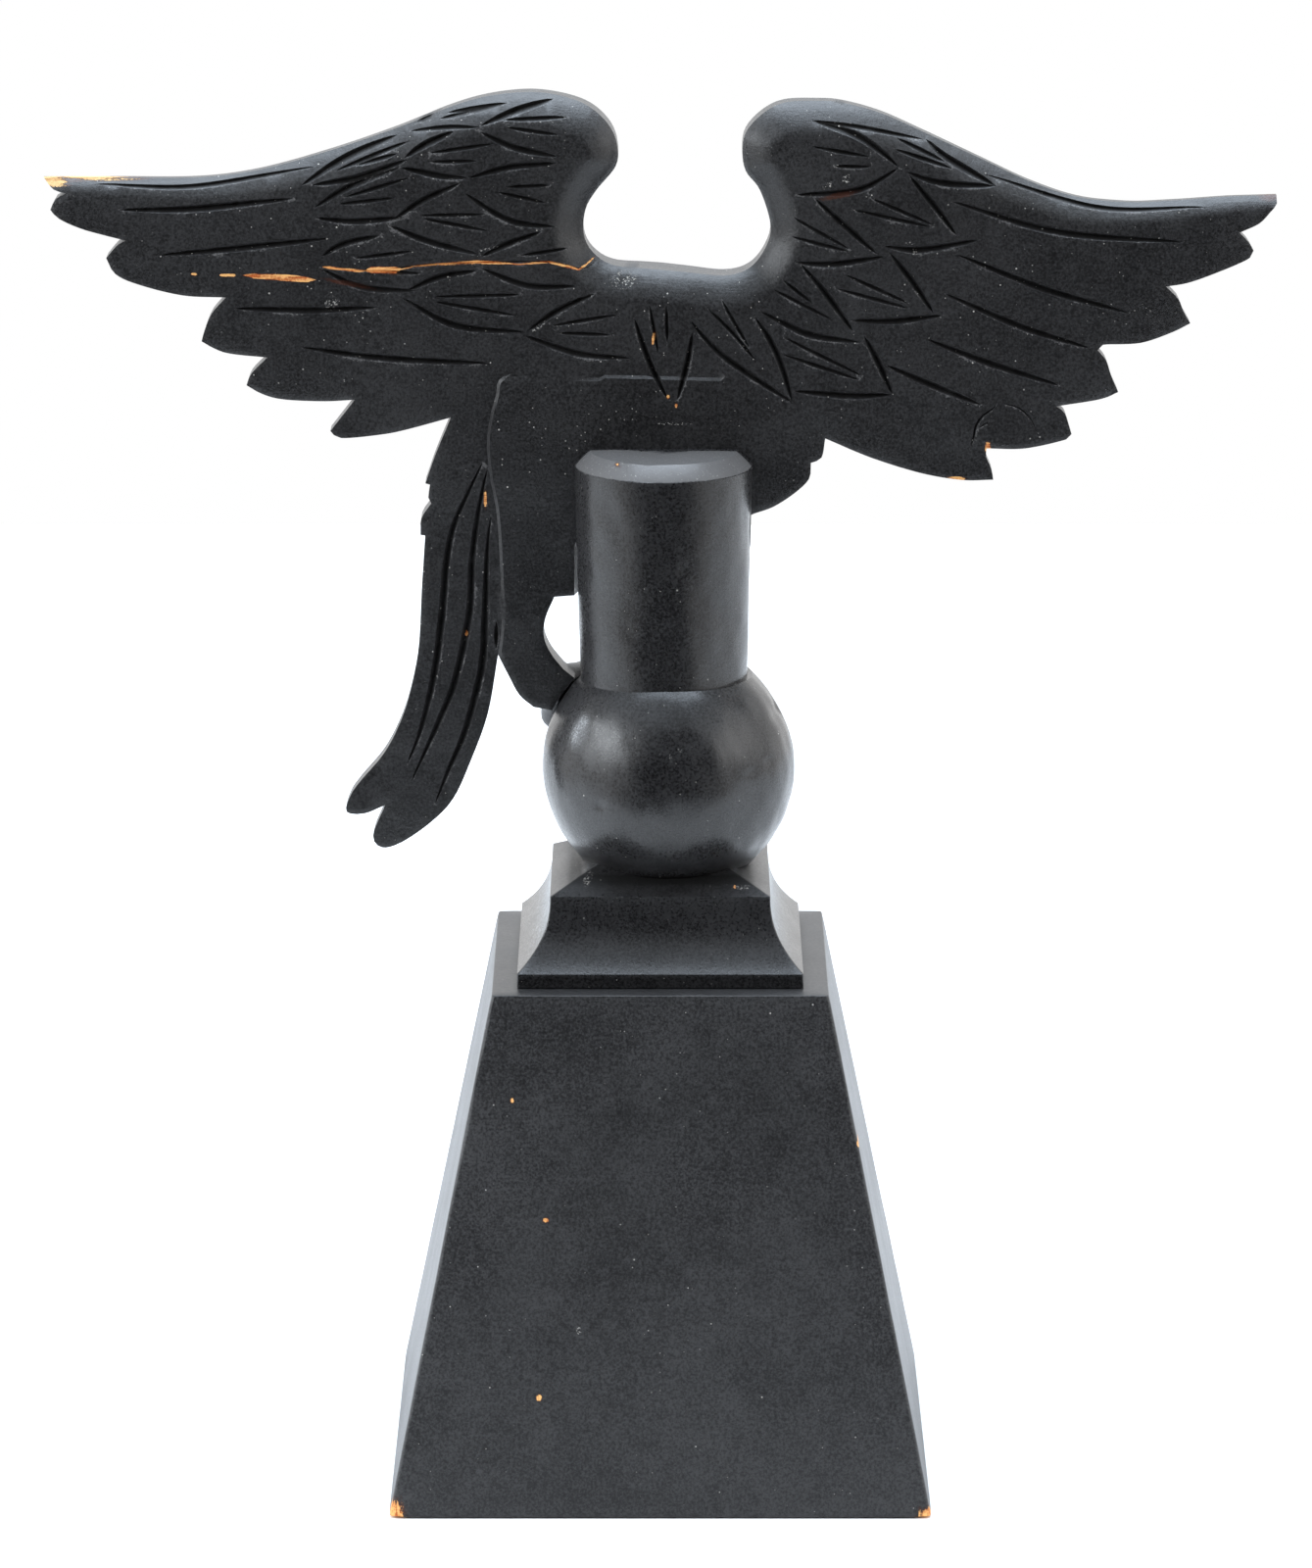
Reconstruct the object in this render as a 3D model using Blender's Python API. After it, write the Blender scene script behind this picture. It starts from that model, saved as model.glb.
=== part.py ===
"""Carved wooden eagle with spread wings, standing on a ball and post over a tapered pedestal.

The eagle is one carved piece. Its flat back, with the wings, the body and the tail, faces -Y.
The post, its ball and its square foot are one carved piece, and the pedestal is another.
Units are metres, +Z is up, and the origin is the middle of the pedestal's underside.
"""

import bpy
import numpy as np
from mathutils import Matrix, Vector
from mathutils.geometry import delaunay_2d_cdt

CLEARANCE = 0.0003

# Pedestal, a tapered square block
PEDESTAL_FOOT_WIDTH = 0.1524
PEDESTAL_TOP_WIDTH = 0.0946
PEDESTAL_HEIGHT = 0.1438
PEDESTAL_EDGE = 0.0008
BEVELLED_FROM = 60.0

# Square foot of the post, with a hollow moulding
FOOT_WIDTH = 0.0804
FOOT_LIP = 0.0039
FOOT_TOP_WIDTH = 0.0620
FOOT_HEIGHT = 0.0240
FOOT_HIP_RISE = 0.0034
FOOT_HOLLOW_POWER = 2.4

# Ball and post
BALL_RADIUS = 0.0361
BALL_LEAN = 0.0023
NECK_RADIUS = 0.0238
NECK_GROOVE = 0.0012
POST_LEAN = 0.0009
POST_FOOT_RADIUS = 0.0239
POST_TOP_RADIUS = 0.0251
POST_LENGTH = 0.0653
POST_ROUNDING = 0.0045
POST_SHOULDER = 0.0368
LAP_DEPTH = 0.0017

# Eagle: its span, and the thickness of its wood
WING_SPAN = 0.3460
WING_BOW = 0.0035
PAD_STEP = 0.0013
PAD_STEP_BREADTH = 0.00085
PAD_FADE = 0.0350
PAD_FADE_LEAD = 0.0060
ARM_THICKNESS = 0.0250
ARM_THICKNESS_AT_TIP = 0.0095
ARM_BREADTH = 0.0280
BLADE_THICKNESS = 0.0120
BLADE_THICKNESS_AT_TIP = 0.0065
TAIL_TIP_THICKNESS = 0.0080
EDGE_ROUND_BREADTH = 0.0090
EDGE_ROUND_DEPTH = 0.0085
EDGE_ROUND_DEPTH_AT_TIP = 0.0030
EDGE_ROUND_SHARE = 0.97     # share of a full quarter turn, so that the edge keeps some wall
FRONT_ROUND_SHARE = 0.28    # share of the thickness that the front's round takes off
ARM_TAPER = 0.8             # power by which the arm thins towards the tip
FEATHER_CUT_WIDTH = 0.0024
FEATHER_CUT_DEPTH = 0.0014
BARB_CUT_WIDTH = 0.0014
BARB_CUT_DEPTH = 0.0008
BREAST_FEATHER_RELIEF = 0.0014

# The eagle is drawn in millimetres at a span of 346, with its height taken over the pedestal's
# underside and the post's shoulder at 262. The drawing is scaled by the span.
DRAWN_SPAN = 346.0
DRAWN_SHOULDER = 262.0
UNIT = WING_SPAN / DRAWN_SPAN

# Fineness of the carved surfaces, in the drawing's millimetres
OUTLINE_STEP = 9.0
GRID_STEP = 17.0
GRID_MARGIN = 3.4
EDGE_ROWS = (0.16, 0.45, 1.0)    # shares of the edge's round
ROW_CLEAR = 0.9                  # a row's point stays only where no other edge is nearer
CUT_STEP = 7.5
BARB_STEP = 8.5
WALL_MARGIN = 0.6
POINT_MARGIN = 1.2
TURNED_SIDES = 30
FORM_SIDES = 12
TOE_SIDES = 10
EYE_SIDES = 10
EYE_RINGS = 6
SMOOTH_UP_TO = 30.0

FOOT_BASE = PEDESTAL_HEIGHT + CLEARANCE
NECK_HEIGHT = FOOT_BASE + FOOT_HEIGHT + FOOT_HIP_RISE
BALL_CENTRE = NECK_HEIGHT + np.sqrt(BALL_RADIUS ** 2 - NECK_RADIUS ** 2)
POST_BASE = BALL_CENTRE + np.sqrt(BALL_RADIUS ** 2 - POST_FOOT_RADIUS ** 2)
POST_TOP = POST_BASE + POST_LENGTH
SHOULDER = POST_BASE + POST_SHOULDER
PAD_BACK = LAP_DEPTH + CLEARANCE

BLACK_PAINT = (0.022, 0.022, 0.025, 1.0)

# The outline, as smooth runs that meet at corners, from the left wing tip clockwise.
# The trailing runs meet at each feather's tip and at each notch between two feathers.
TOP_RUN = [
    (-173, 365), (-152, 365), (-130, 365), (-113.5, 367), (-94.5, 372), (-75, 378.5),
    (-58.5, 385), (-47.5, 388), (-36, 389), (-26, 387.5), (-19, 384.5), (-14, 379.5),
    (-12, 374), (-12.5, 368.5), (-18, 361.5), (-21, 356), (-21.5, 349), (-19, 344),
    (-13.5, 340.5), (-4, 339.5), (7, 338.5), (18, 337.5), (25, 339.5), (29.5, 345),
    (31, 351.5), (28, 361.5), (24, 367), (23, 372.5), (24, 378), (28.5, 383),
    (34.5, 386), (43.5, 386.5), (51, 386), (62, 383), (74.5, 377.5), (89.5, 370.5),
    (103.5, 364), (117, 359.5), (131, 358), (144.5, 358.5), (158.5, 359.5), (173, 360),
]
RIGHT_TRAILING_RUNS = [
    [(173, 360), (173, 358), (171, 355.5), (168, 352.5), (162.5, 350)],
    [(162.5, 350), (165, 347.5), (166.5, 345)],
    [(166.5, 345), (165.5, 343), (161.5, 341), (154, 338), (148, 336), (142, 335)],
    [(142, 335), (145.5, 331.5), (147, 328), (149, 324.5)],
    [(149, 324.5), (144, 322), (135, 319), (124.5, 318.5), (123, 317)],
    [(123, 317), (125.5, 314), (127, 309.5), (129, 305)],
    [(129, 305), (124, 303), (111.5, 301)],
    [(111.5, 301), (114, 299), (116, 293)],
    [(116, 293), (114.5, 291.5), (103, 289), (92, 289)],
    [(92, 289), (92, 286.5), (93.5, 283), (94, 280)],
    [(94, 280), (85, 280), (73.5, 282), (59.5, 286.5), (46.5, 292)],
]
BREAST_RUNS = [
    [(46.5, 292), (45.5, 286.5), (42.5, 285)],
    [(42.5, 285), (42, 280.5), (38, 276.5), (32, 272.5), (26.5, 270.5)],
    [(26.5, 270.5), (-23.5, 247)],
    [(-23.5, 247), (-30, 246.5)],
    [(-30, 246.5), (-32.5, 240.5), (-33, 235), (-31, 230), (-27.5, 225.5)],
]
LEG_AND_TAIL_RUNS = [
    [(-36, 214.5), (-40, 218), (-43, 223.5), (-46, 229.5)],
    [(-46, 229.5), (-49, 212.5), (-54, 198.5), (-59, 187.5), (-65.5, 180.5), (-74, 174.5),
     (-79.5, 173), (-82, 176.5), (-78.5, 185.5)],
    [(-78.5, 185.5), (-84.5, 183), (-89.5, 183.5), (-88.5, 188), (-85.5, 192.5), (-78.5, 201),
     (-73.5, 211), (-70.5, 221), (-68.5, 232.5), (-67.5, 249.5), (-66.5, 264)],
    [(-66.5, 264), (-68, 265), (-66.5, 272.5), (-64.5, 279.5)],
    [(-64.5, 279.5), (-65.5, 281), (-62, 290.5), (-59, 298)],
]
LEFT_TRAILING_RUNS = [
    [(-59, 298), (-71.5, 294.5), (-79, 293), (-90, 292), (-93, 294)],
    [(-93, 294), (-89.5, 298.5), (-86, 303)],
    [(-86, 303), (-94.5, 302.5), (-106, 303), (-112, 304.5), (-116.5, 307)],
    [(-116.5, 307), (-115, 310.5), (-110.5, 315)],
    [(-110.5, 315), (-121, 316), (-125.5, 317.5), (-129, 319.5)],
    [(-129, 319.5), (-128, 323), (-126, 327.5), (-122, 332)],
    [(-122, 332), (-134, 332.5), (-146.5, 335.5), (-153, 338.5), (-155.5, 343)],
    [(-155.5, 343), (-152.5, 346.5), (-150, 348)],
    [(-150, 348), (-161.5, 351), (-168.5, 354), (-171, 356.5)],
    [(-171, 356.5), (-169.5, 359.5), (-166.5, 361)],
    [(-166.5, 361), (-170, 362), (-173, 365)],
]

# The claws meet the ball between these angles over the horizontal, seen from the back.
CLAW_ANGLES = (137.0, 155.0)

# The tail thins over this length below this height, left of this line.
TAIL_THINS_BELOW = 250.0
TAIL_THINS_OVER = 70.0
TAIL_RIGHT_SIDE = -45.0

# Each short feather: its tip, the upper and the lower root of its edges, and how far the two
# edges swell, as shares of their length.
LEFT_COVERTS = [
    ((-101, 364), (-73.5, 378), (-70.5, 371.5), 0.03, 0.04),
    ((-97, 358), (-73, 369.5), (-71, 355.5), 0.04, 0.04),
    ((-95, 344.5), (-78.5, 350.5), (-68.5, 334.5), 0.07, 0.08),
    ((-71.5, 372), (-57.5, 379.5), (-53.5, 366.5), 0.03, 0.03),
    ((-75, 354.5), (-56, 365), (-50.5, 345), 0.04, 0.03),
    ((-71, 334.5), (-51, 340.5), (-38, 323), 0.06, 0.09),
    ((-50.5, 381), (-30, 385), (-28.5, 372.5), 0.03, 0.05),
    ((-53.5, 366.5), (-29, 370.5), (-29.5, 352.5), 0.04, 0.10),
    ((-50, 344.5), (-33, 351.5), (-24.5, 335.5), 0.03, 0.08),
    ((-37.5, 323), (-18, 334), (-8, 315.5), 0.04, 0.06),
]
RIGHT_COVERTS = [
    ((67, 369.5), (43, 381), (38, 361.5), 0.08, 0.10),
    ((94, 363.5), (74, 374.5), (68.5, 368), 0.0, 0.06),
    ((83.5, 350), (69.5, 367), (62.5, 347.5), 0.03, 0.11),
    ((61, 345), (43, 360.5), (38, 342.5), 0.0, 0.07),
    ((77, 328), (64, 345.5), (53.5, 326), 0.02, 0.05),
    ((54.5, 323), (39.5, 342), (28, 328.5), 0.04, 0.12),
    ((65.5, 305), (57, 322), (37.5, 306), 0.0, 0.03),
    ((37.5, 302.5), (26.5, 327), (9, 325.5), 0.04, 0.04),
]
# Two barbs lie in each short feather. Each starts and ends at shares of the way from the tip to
# its root, which is itself a share of the way from the upper root to the lower one.
BARB_ROOTS = (0.36, 0.66)
BARB_START = 0.30
BARB_END = 0.93
BARB_SPREAD = 0.10
BARB_SWELL = 0.20
LOWER_EDGE_START = 0.06

# Cuts between the long feathers
LONG_FEATHER_CUTS = [
    ((-158, 363.5), (-130, 363), (-96.5, 369)), ((-151.5, 356.5), (-130, 357), (-102.5, 360)),
    ((-140.5, 344), (-119, 346), (-92.5, 349)), ((-119.5, 329.5), (-98.5, 329), (-79, 330)),
    ((-101, 318), (-78, 315), (-48, 313.5)),
    ((153.5, 357), (122.5, 357.5), (90.5, 367.5)), ((147, 347.5), (111.5, 350.5), (81, 359.5)),
    ((132, 327.5), (108, 334.5), (83, 344.5)), ((121, 317.5), (101, 324), (79.5, 333.5)),
    ((111, 307), (92.5, 313.5), (74.5, 320.5)), ((89, 301.5), (76, 307.5), (63.5, 313)),
]
# The two pointed cuts between the wings, and the cuts that part the tail feathers
SHOULDER_CUTS = [
    ((2, 303.5), (-3, 314), (-7.5, 327)), ((4.5, 303.5), (7, 313.5), (9, 323)),
]
TAIL_CUTS = [
    ((-72, 198), (-62, 243.5), (-51.5, 285.5)), ((-71, 192.5), (-54, 249.5), (-50, 279)),
    ((-64.5, 186), (-50.5, 235), (-49.5, 262)),
]
# Small cuts: barbs at the shoulders, and short strokes along the top of the left wing
SMALL_CUTS = [
    ((-0.5, 316.5), (-3, 330.5)), ((2, 319.5), (1.5, 331)), ((12, 330), (22, 317)),
    ((16, 331), (24, 320)), ((-70, 379), (-50.5, 380.5)), ((-60, 383), (-42.5, 386.5)),
]
PAD_EDGE = [
    (17, 309.5), (-14, 310.3), (-42, 310.5), (-46.5, 303.5), (-49, 292.5), (-49, 262),
    (-48.2, 239), (-46, 229.5),
]

# Rounded forms of the carved front, as stations along a path: x, y, z, half breadth, depth
# before the path and depth behind it. y is taken from the face of the post's lap.
BODY = [
    (-65, 9, 238, 4.5, 3, 3), (-61, 10, 254, 9, 7, 5), (-50, 12, 267, 15.5, 13, 6),
    (-33, 14, 278, 20.5, 21, 8), (-12, 15, 288, 23.5, 28, 9), (10, 16, 299.5, 25, 32, 9),
    (28, 17, 313, 23, 31, 9), (41, 19, 328, 17.5, 25, 9), (49, 21, 340, 14, 19, 9),
    (56, 23, 347, 12, 14, 9),
]
BODY_FEATHER_ROWS = 10
BODY_FEATHERS_AROUND = 7
HEAD = [
    (47, 23, 335, 12, 14, 12), (55, 25, 345.5, 13.5, 14.5, 13), (64, 26, 352.5, 13.2, 14, 12),
    (74, 27, 354.5, 10.6, 11, 10), (82, 27, 353, 7, 7, 7),
]
FORMS = {
    "upper_beak": [
        (78, 27, 353, 6.4, 5.4, 5.4), (86, 27, 352.5, 5.8, 4.6, 4.6), (92, 27, 349.5, 4.6, 3.8, 3.8),
        (95.5, 27, 344.5, 3.2, 2.8, 2.8), (96, 27, 338.5, 1.1, 1.1, 1.1),
    ],
    "lower_beak": [
        (79, 27, 346.5, 3.6, 4.2, 4.2), (87, 27, 345, 2.6, 3.2, 3.2), (91, 27, 344, 1.1, 1.6, 1.6),
    ],
    "brow": [(63, 37, 357.5, 1.6, 1.6, 3), (72, 37.5, 358, 2.5, 1.9, 4), (80.5, 33.8, 356, 1.6, 1.4, 3)],
    "rear_thigh": [
        (-24, 24, 275, 12, 13, 10), (-35, 22, 265, 13, 14, 12), (-41.5, 18, 252, 9.5, 11, 10),
        (-40, 13.5, 240, 6.2, 8, 7),
    ],
    "front_thigh": [
        (15, 33, 292, 13, 11, 8), (12, 37, 277, 14, 12, 9), (8, 37, 262.5, 11.5, 10, 9),
        (6, 35.5, 250.5, 7.5, 8, 7.5),
    ],
}
EYE = (75.0, 36.0, 353.0, 2.5)
EYE_TURN = 80.0

# The body's rows of feathers, in spans of its path: where they start and stop, how deep the
# scallops bite into a row, and how each row's edge stands out and falls away
ROWS_START = 0.7
ROWS_STOP = 1.2
SCALLOP = 0.42
ROW_LIP = 0.08
ROW_HEEL = 0.45
ROW_HEEL_RELIEF = 0.35
FEATHER_SPANS = 4

# Shanks run from their thighs to the root of each foot, which stands over the ball.
SHANKS = {
    "rear_shank": [(-40, 12, 246, 5, 6, 6), (-38.8, 10.5, 234, 4.6, 5.5, 5.5)],
    "front_shank": [(6, 35, 254, 5.3, 5.3, 5.3), (4.5, 34, 240, 4.8, 4.8, 4.8)],
}
ANKLE = (5.5, 5.2, 5.2)

# Toes run over the ball from the root of each foot. These are directions from its centre.
FRONT_FOOT = (0.02, 0.74, 0.67)
FRONT_TOES = [(-0.50, 0.84, 0.20), (0.0, 0.985, 0.17), (0.52, 0.83, 0.20)]
REAR_FOOT = (-0.80, 0.20, 0.56)
REAR_TOES = [(-0.80, 0.59, 0.10), (-0.63, 0.73, 0.26), (-0.42, 0.74, 0.52)]
# Each toe's rings: share of the way to its end, lift over the ball and girth
TOE_RINGS = [(-0.06, 0.62, 1.0), (0.2, 0.70, 1.0), (0.45, 0.62, 0.86), (0.66, 0.66, 0.92),
             (0.8, 0.52, 0.62), (0.92, 0.42, 0.40), (1.0, 0.30, 0.0)]
TOE_THICKNESS = 4.3
TALON_THICKNESS = 0.9


def clear_scene():
    """Removes the objects that a new Blender file starts with."""
    for item in list(bpy.data.objects):
        bpy.data.objects.remove(item, do_unlink=True)


def material(name, colour, roughness):
    """A painted finish."""
    finish = bpy.data.materials.new(name)
    finish.use_nodes = True
    shader = finish.node_tree.nodes["Principled BSDF"]
    shader.inputs["Base Color"].default_value = colour
    shader.inputs["Roughness"].default_value = roughness
    return finish


def add_object(name, points, faces):
    """Links a mesh object made from points in metres."""
    mesh = bpy.data.meshes.new(name)
    mesh.from_pydata([tuple(map(float, point)) for point in points], [], faces)
    mesh.update()
    item = bpy.data.objects.new(name, mesh)
    bpy.context.scene.collection.objects.link(item)
    return item


def as_tool(item):
    """Hides an object that only joins or cuts another."""
    item.hide_render = True
    item.display_type = "WIRE"
    return item


def boolean(target, tool, operation):
    """Adds an exact Boolean, with its tool kept as a hidden guide."""
    step = target.modifiers.new(operation.title() + " " + tool.name, "BOOLEAN")
    step.solver = "EXACT"
    step.operation = operation
    step.object = as_tool(tool)


def boolean_group(target, name, tools, operation):
    """Adds one exact Boolean with several tools, which are kept as hidden guides."""
    group = bpy.data.collections.new(name)
    bpy.context.scene.collection.children.link(group)
    for tool in tools:
        bpy.context.scene.collection.objects.unlink(as_tool(tool))
        group.objects.link(tool)
    step = target.modifiers.new(operation.title() + " " + name, "BOOLEAN")
    step.solver = "EXACT"
    step.operation = operation
    step.operand_type = "COLLECTION"
    step.collection = group


def ring_faces(rings, sides):
    """Quads between closed rings of points, with a cap on the first ring and on the last."""
    faces = [list(range(sides))[::-1]]
    for ring in range(rings - 1):
        for side in range(sides):
            turn = (side + 1) % sides
            low, high = ring * sides, (ring + 1) * sides
            faces.append([low + side, low + turn, high + turn, high + side])
    faces.append([(rings - 1) * sides + side for side in range(sides)])
    return faces


def turned(name, profile, centre_x, sides=TURNED_SIDES):
    """A solid turned about an upright axis, from (radius, height) pairs given upwards."""
    angles = np.arange(sides) * 2 * np.pi / sides
    points = [
        (centre_x + radius * np.cos(a), radius * np.sin(a), height)
        for radius, height in profile for a in angles
    ]
    item = add_object(name, points, ring_faces(len(profile), sides))
    item.data.shade_smooth()
    item.data.set_sharp_from_angle(angle=np.radians(SMOOTH_UP_TO))
    return item


def square_stack(name, levels, centre_x=0.0):
    """A square block from (half width, height) pairs given upwards."""
    corners = ((-1, -1), (1, -1), (1, 1), (-1, 1))
    points = [(centre_x + half * cx, half * cy, z) for half, z in levels for cx, cy in corners]
    return add_object(name, points, ring_faces(len(levels), len(corners)))


def arc(radius, centre, start, end, count):
    """(radius, height) points of a circle about a point on the axis, by angles in degrees."""
    angles = np.radians(np.linspace(start, end, count))
    return [(radius * np.cos(a), centre + radius * np.sin(a)) for a in angles]


def make_pedestal():
    """The tapered block, with its upright edges just broken."""
    block = square_stack(
        "pedestal",
        [(PEDESTAL_FOOT_WIDTH / 2, 0.0), (PEDESTAL_TOP_WIDTH / 2, PEDESTAL_HEIGHT)],
    )
    edge = block.modifiers.new("Broken edges", "BEVEL")
    edge.width = PEDESTAL_EDGE
    edge.segments = 1
    edge.limit_method = "ANGLE"
    edge.angle_limit = np.radians(BEVELLED_FROM)
    return block


def ball_profile(grow=0.0):
    """The ball with its groove below and its flat top under the post."""
    radius = BALL_RADIUS + grow
    low = -np.degrees(np.arccos(NECK_RADIUS / BALL_RADIUS))
    high = np.degrees(np.arccos(POST_FOOT_RADIUS / BALL_RADIUS))
    groove = NECK_RADIUS - NECK_GROOVE
    sunk = FOOT_BASE + FOOT_HEIGHT / 2
    return [(groove, sunk), (groove, NECK_HEIGHT - NECK_GROOVE)] + arc(radius, BALL_CENTRE, low, high, 14)


def make_post():
    """Square foot with its hollow moulding, ball, and post lapped away behind the eagle."""
    foot_half, top_half = FOOT_WIDTH / 2, FOOT_TOP_WIDTH / 2
    lip = FOOT_BASE + FOOT_LIP
    rise = FOOT_HEIGHT - FOOT_LIP
    hollow = [
        (top_half + (foot_half - top_half) * (1 - s) ** FOOT_HOLLOW_POWER, lip + rise * s)
        for s in np.linspace(0, 1, 8)
    ]
    levels = [(foot_half, FOOT_BASE)] + hollow
    hip = (top_half - NECK_RADIUS) / FOOT_HIP_RISE
    crown = 2 * FOOT_HIP_RISE
    levels.append((top_half - hip * crown, FOOT_BASE + FOOT_HEIGHT + crown))
    post = square_stack("post", levels)

    boolean(post, turned("ball_form", ball_profile(), BALL_LEAN), "UNION")
    rounded = [
        (POST_TOP_RADIUS - POST_ROUNDING * (1 - np.cos(a)), POST_TOP - POST_ROUNDING * (1 - np.sin(a)))
        for a in np.radians([0, 30, 60, 90])
    ]
    shaft = [(POST_FOOT_RADIUS - NECK_GROOVE, BALL_CENTRE), (POST_FOOT_RADIUS, POST_BASE)]
    boolean(post, turned("shaft_form", shaft + rounded, POST_LEAN), "UNION")
    reach = 2 * POST_TOP_RADIUS
    lap = square_stack("lap_cut", [(reach, SHOULDER), (reach, POST_TOP + reach)], POST_LEAN)
    lap.data.transform(Matrix.Translation((0, LAP_DEPTH + reach, 0)))
    boolean(post, lap, "DIFFERENCE")
    return post


def place(points):
    """Drawing points (x, z) as metres in the model."""
    drawn = np.asarray(points, dtype=float)
    x = drawn[:, 0] * UNIT
    z = SHOULDER + (drawn[:, 1] - DRAWN_SHOULDER) * UNIT
    return np.column_stack([x, z])


def unplace(points):
    """Model points (x, z) in metres as drawing points."""
    placed = np.asarray(points, dtype=float)
    return np.column_stack([placed[:, 0] / UNIT, (placed[:, 1] - SHOULDER) / UNIT + DRAWN_SHOULDER])


def smooth_between(before, start, end, after, count):
    """Points from start up to end, on the smooth curve that also passes its two neighbours."""
    t = (np.arange(count) / count)[:, None]
    return 0.5 * (2 * start + (end - before) * t
                  + (2 * before - 5 * start + 4 * end - after) * t ** 2
                  + (3 * start - before - 3 * end + after) * t ** 3)


def smooth_run(control, step):
    """A smooth curve through control points, with points about one step apart."""
    p = np.asarray(control, dtype=float)
    if len(p) == 2:
        return p
    ghost = np.vstack([2 * p[0] - p[1], p, 2 * p[-1] - p[-2]])
    curve = []
    for before, start, end, after in zip(ghost, ghost[1:], ghost[2:], ghost[3:]):
        count = max(1, int(round(np.hypot(*(end - start)) / step)))
        curve.append(smooth_between(before, start, end, after, count))
    return np.vstack(curve + [p[-1:]])


def smooth_spans(stations, spans):
    """Stations made finer along a smooth curve, with a number of spans between each two."""
    p = np.asarray(stations, dtype=float)
    ghost = np.vstack([2 * p[0] - p[1], p, 2 * p[-1] - p[-2]])
    curve = [smooth_between(*four, spans) for four in zip(ghost, ghost[1:], ghost[2:], ghost[3:])]
    return np.vstack(curve + [p[-1:]])


def claw_arc():
    """The curve where the leg ends on the ball, in drawing points."""
    reach = BALL_RADIUS + CLEARANCE
    angles = np.radians(np.linspace(*CLAW_ANGLES, 5))
    model = np.column_stack([BALL_LEAN + reach * np.cos(angles), BALL_CENTRE + reach * np.sin(angles)])
    return unplace(model)


def eagle_outline(step):
    """The closed outline of the board, and the curve of its leading edge."""
    leading = smooth_run(TOP_RUN, step)
    claws = claw_arc()
    joints = [[BREAST_RUNS[-1][-1], claws[0]], claws, [claws[-1], LEG_AND_TAIL_RUNS[0][0]]]
    runs = [leading]
    for run in RIGHT_TRAILING_RUNS + BREAST_RUNS + joints + LEG_AND_TAIL_RUNS + LEFT_TRAILING_RUNS:
        runs.append(smooth_run(run, step))
    return np.vstack([run[:-1] for run in runs]), leading


def distance_to_path(points, path):
    """Distance from each point to a polyline, and where along the line its nearest point lies."""
    start, span = path[:-1], path[1:] - path[:-1]
    length = np.hypot(span[:, 0], span[:, 1])
    offset = points[:, None, :] - start[None]
    t = np.clip((offset * span).sum(2) / (length ** 2), 0, 1)
    gap = offset - t[..., None] * span
    distance = np.hypot(gap[..., 0], gap[..., 1])
    nearest = distance.argmin(1)
    rows = np.arange(len(points))
    travelled = np.concatenate([[0], np.cumsum(length)])
    along = (travelled[nearest] + t[rows, nearest] * length[nearest]) / travelled[-1]
    return distance[rows, nearest], along


def side_of(path):
    """Unit normals to the left of a polyline."""
    direction = np.gradient(path, axis=0)
    normal = np.column_stack([-direction[:, 1], direction[:, 0]])
    return normal / np.hypot(normal[:, 0], normal[:, 1])[:, None]


def bent(start, end, swell, step):
    """A line that swells to its left by a share of its length, with points about a step apart."""
    start, end = np.asarray(start, dtype=float), np.asarray(end, dtype=float)
    spans = max(2, int(round(np.hypot(*(end - start)) / step)))
    t = np.linspace(0, 1, spans + 1)[:, None]
    left = np.array([start[1] - end[1], end[0] - start[0]])
    return start + (end - start) * t + left * swell * 4 * t * (1 - t)


class Cut:
    """A V-shaped cut along a path, tapered to nothing at its ends."""

    def __init__(self, path, width, depth):
        self.path = np.asarray(path, dtype=float)
        self.half = width / 2 / UNIT
        self.depth = depth

    def taper(self, along):
        """Share of the full width and depth at each place along the cut."""
        return np.sqrt(np.clip(np.sin(np.pi * np.clip(along, 0, 1)), 0, 1))

    def lines(self):
        """The bed of the cut and its two rims, which all meet at the ends."""
        count = len(self.path)
        normal = side_of(self.path)
        reach = (self.half * self.taper(np.linspace(0, 1, count)))[:, None]
        rim = self.path + normal * reach
        other = self.path - normal * reach
        rim[[0, -1]] = other[[0, -1]] = self.path[[0, -1]]
        return [self.path, rim, other]

    def depth_at(self, points):
        """How deep the cut is under each point."""
        distance, along = distance_to_path(points, self.path)
        share = self.taper(along)
        width = np.maximum(self.half * share, 1e-6)
        return self.depth * share * np.clip(1 - distance / width, 0, 1)


def feather_cuts(tip, upper, lower, upper_swell, lower_swell):
    """The two edges of a short feather and the two barb cuts inside it."""
    tip, upper, lower = (np.asarray(p, dtype=float) for p in (tip, upper, lower))
    side = 1.0 if tip[0] > upper[0] else -1.0
    inner = tip + LOWER_EDGE_START * (lower - tip)
    edges = [bent(tip, upper, -side * upper_swell, CUT_STEP),
             bent(inner, lower, side * lower_swell, CUT_STEP)]
    cuts = [Cut(edge, FEATHER_CUT_WIDTH, FEATHER_CUT_DEPTH) for edge in edges]
    for share in BARB_ROOTS:
        root = upper + share * (lower - upper)
        start = tip + BARB_START * (root - tip) + (share - 0.5) * BARB_SPREAD * (lower - upper)
        end = tip + BARB_END * (root - tip)
        barb = bent(start, end, -side * (0.5 - share) * BARB_SWELL, BARB_STEP)
        cuts.append(Cut(barb, BARB_CUT_WIDTH, BARB_CUT_DEPTH))
    return cuts


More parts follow.
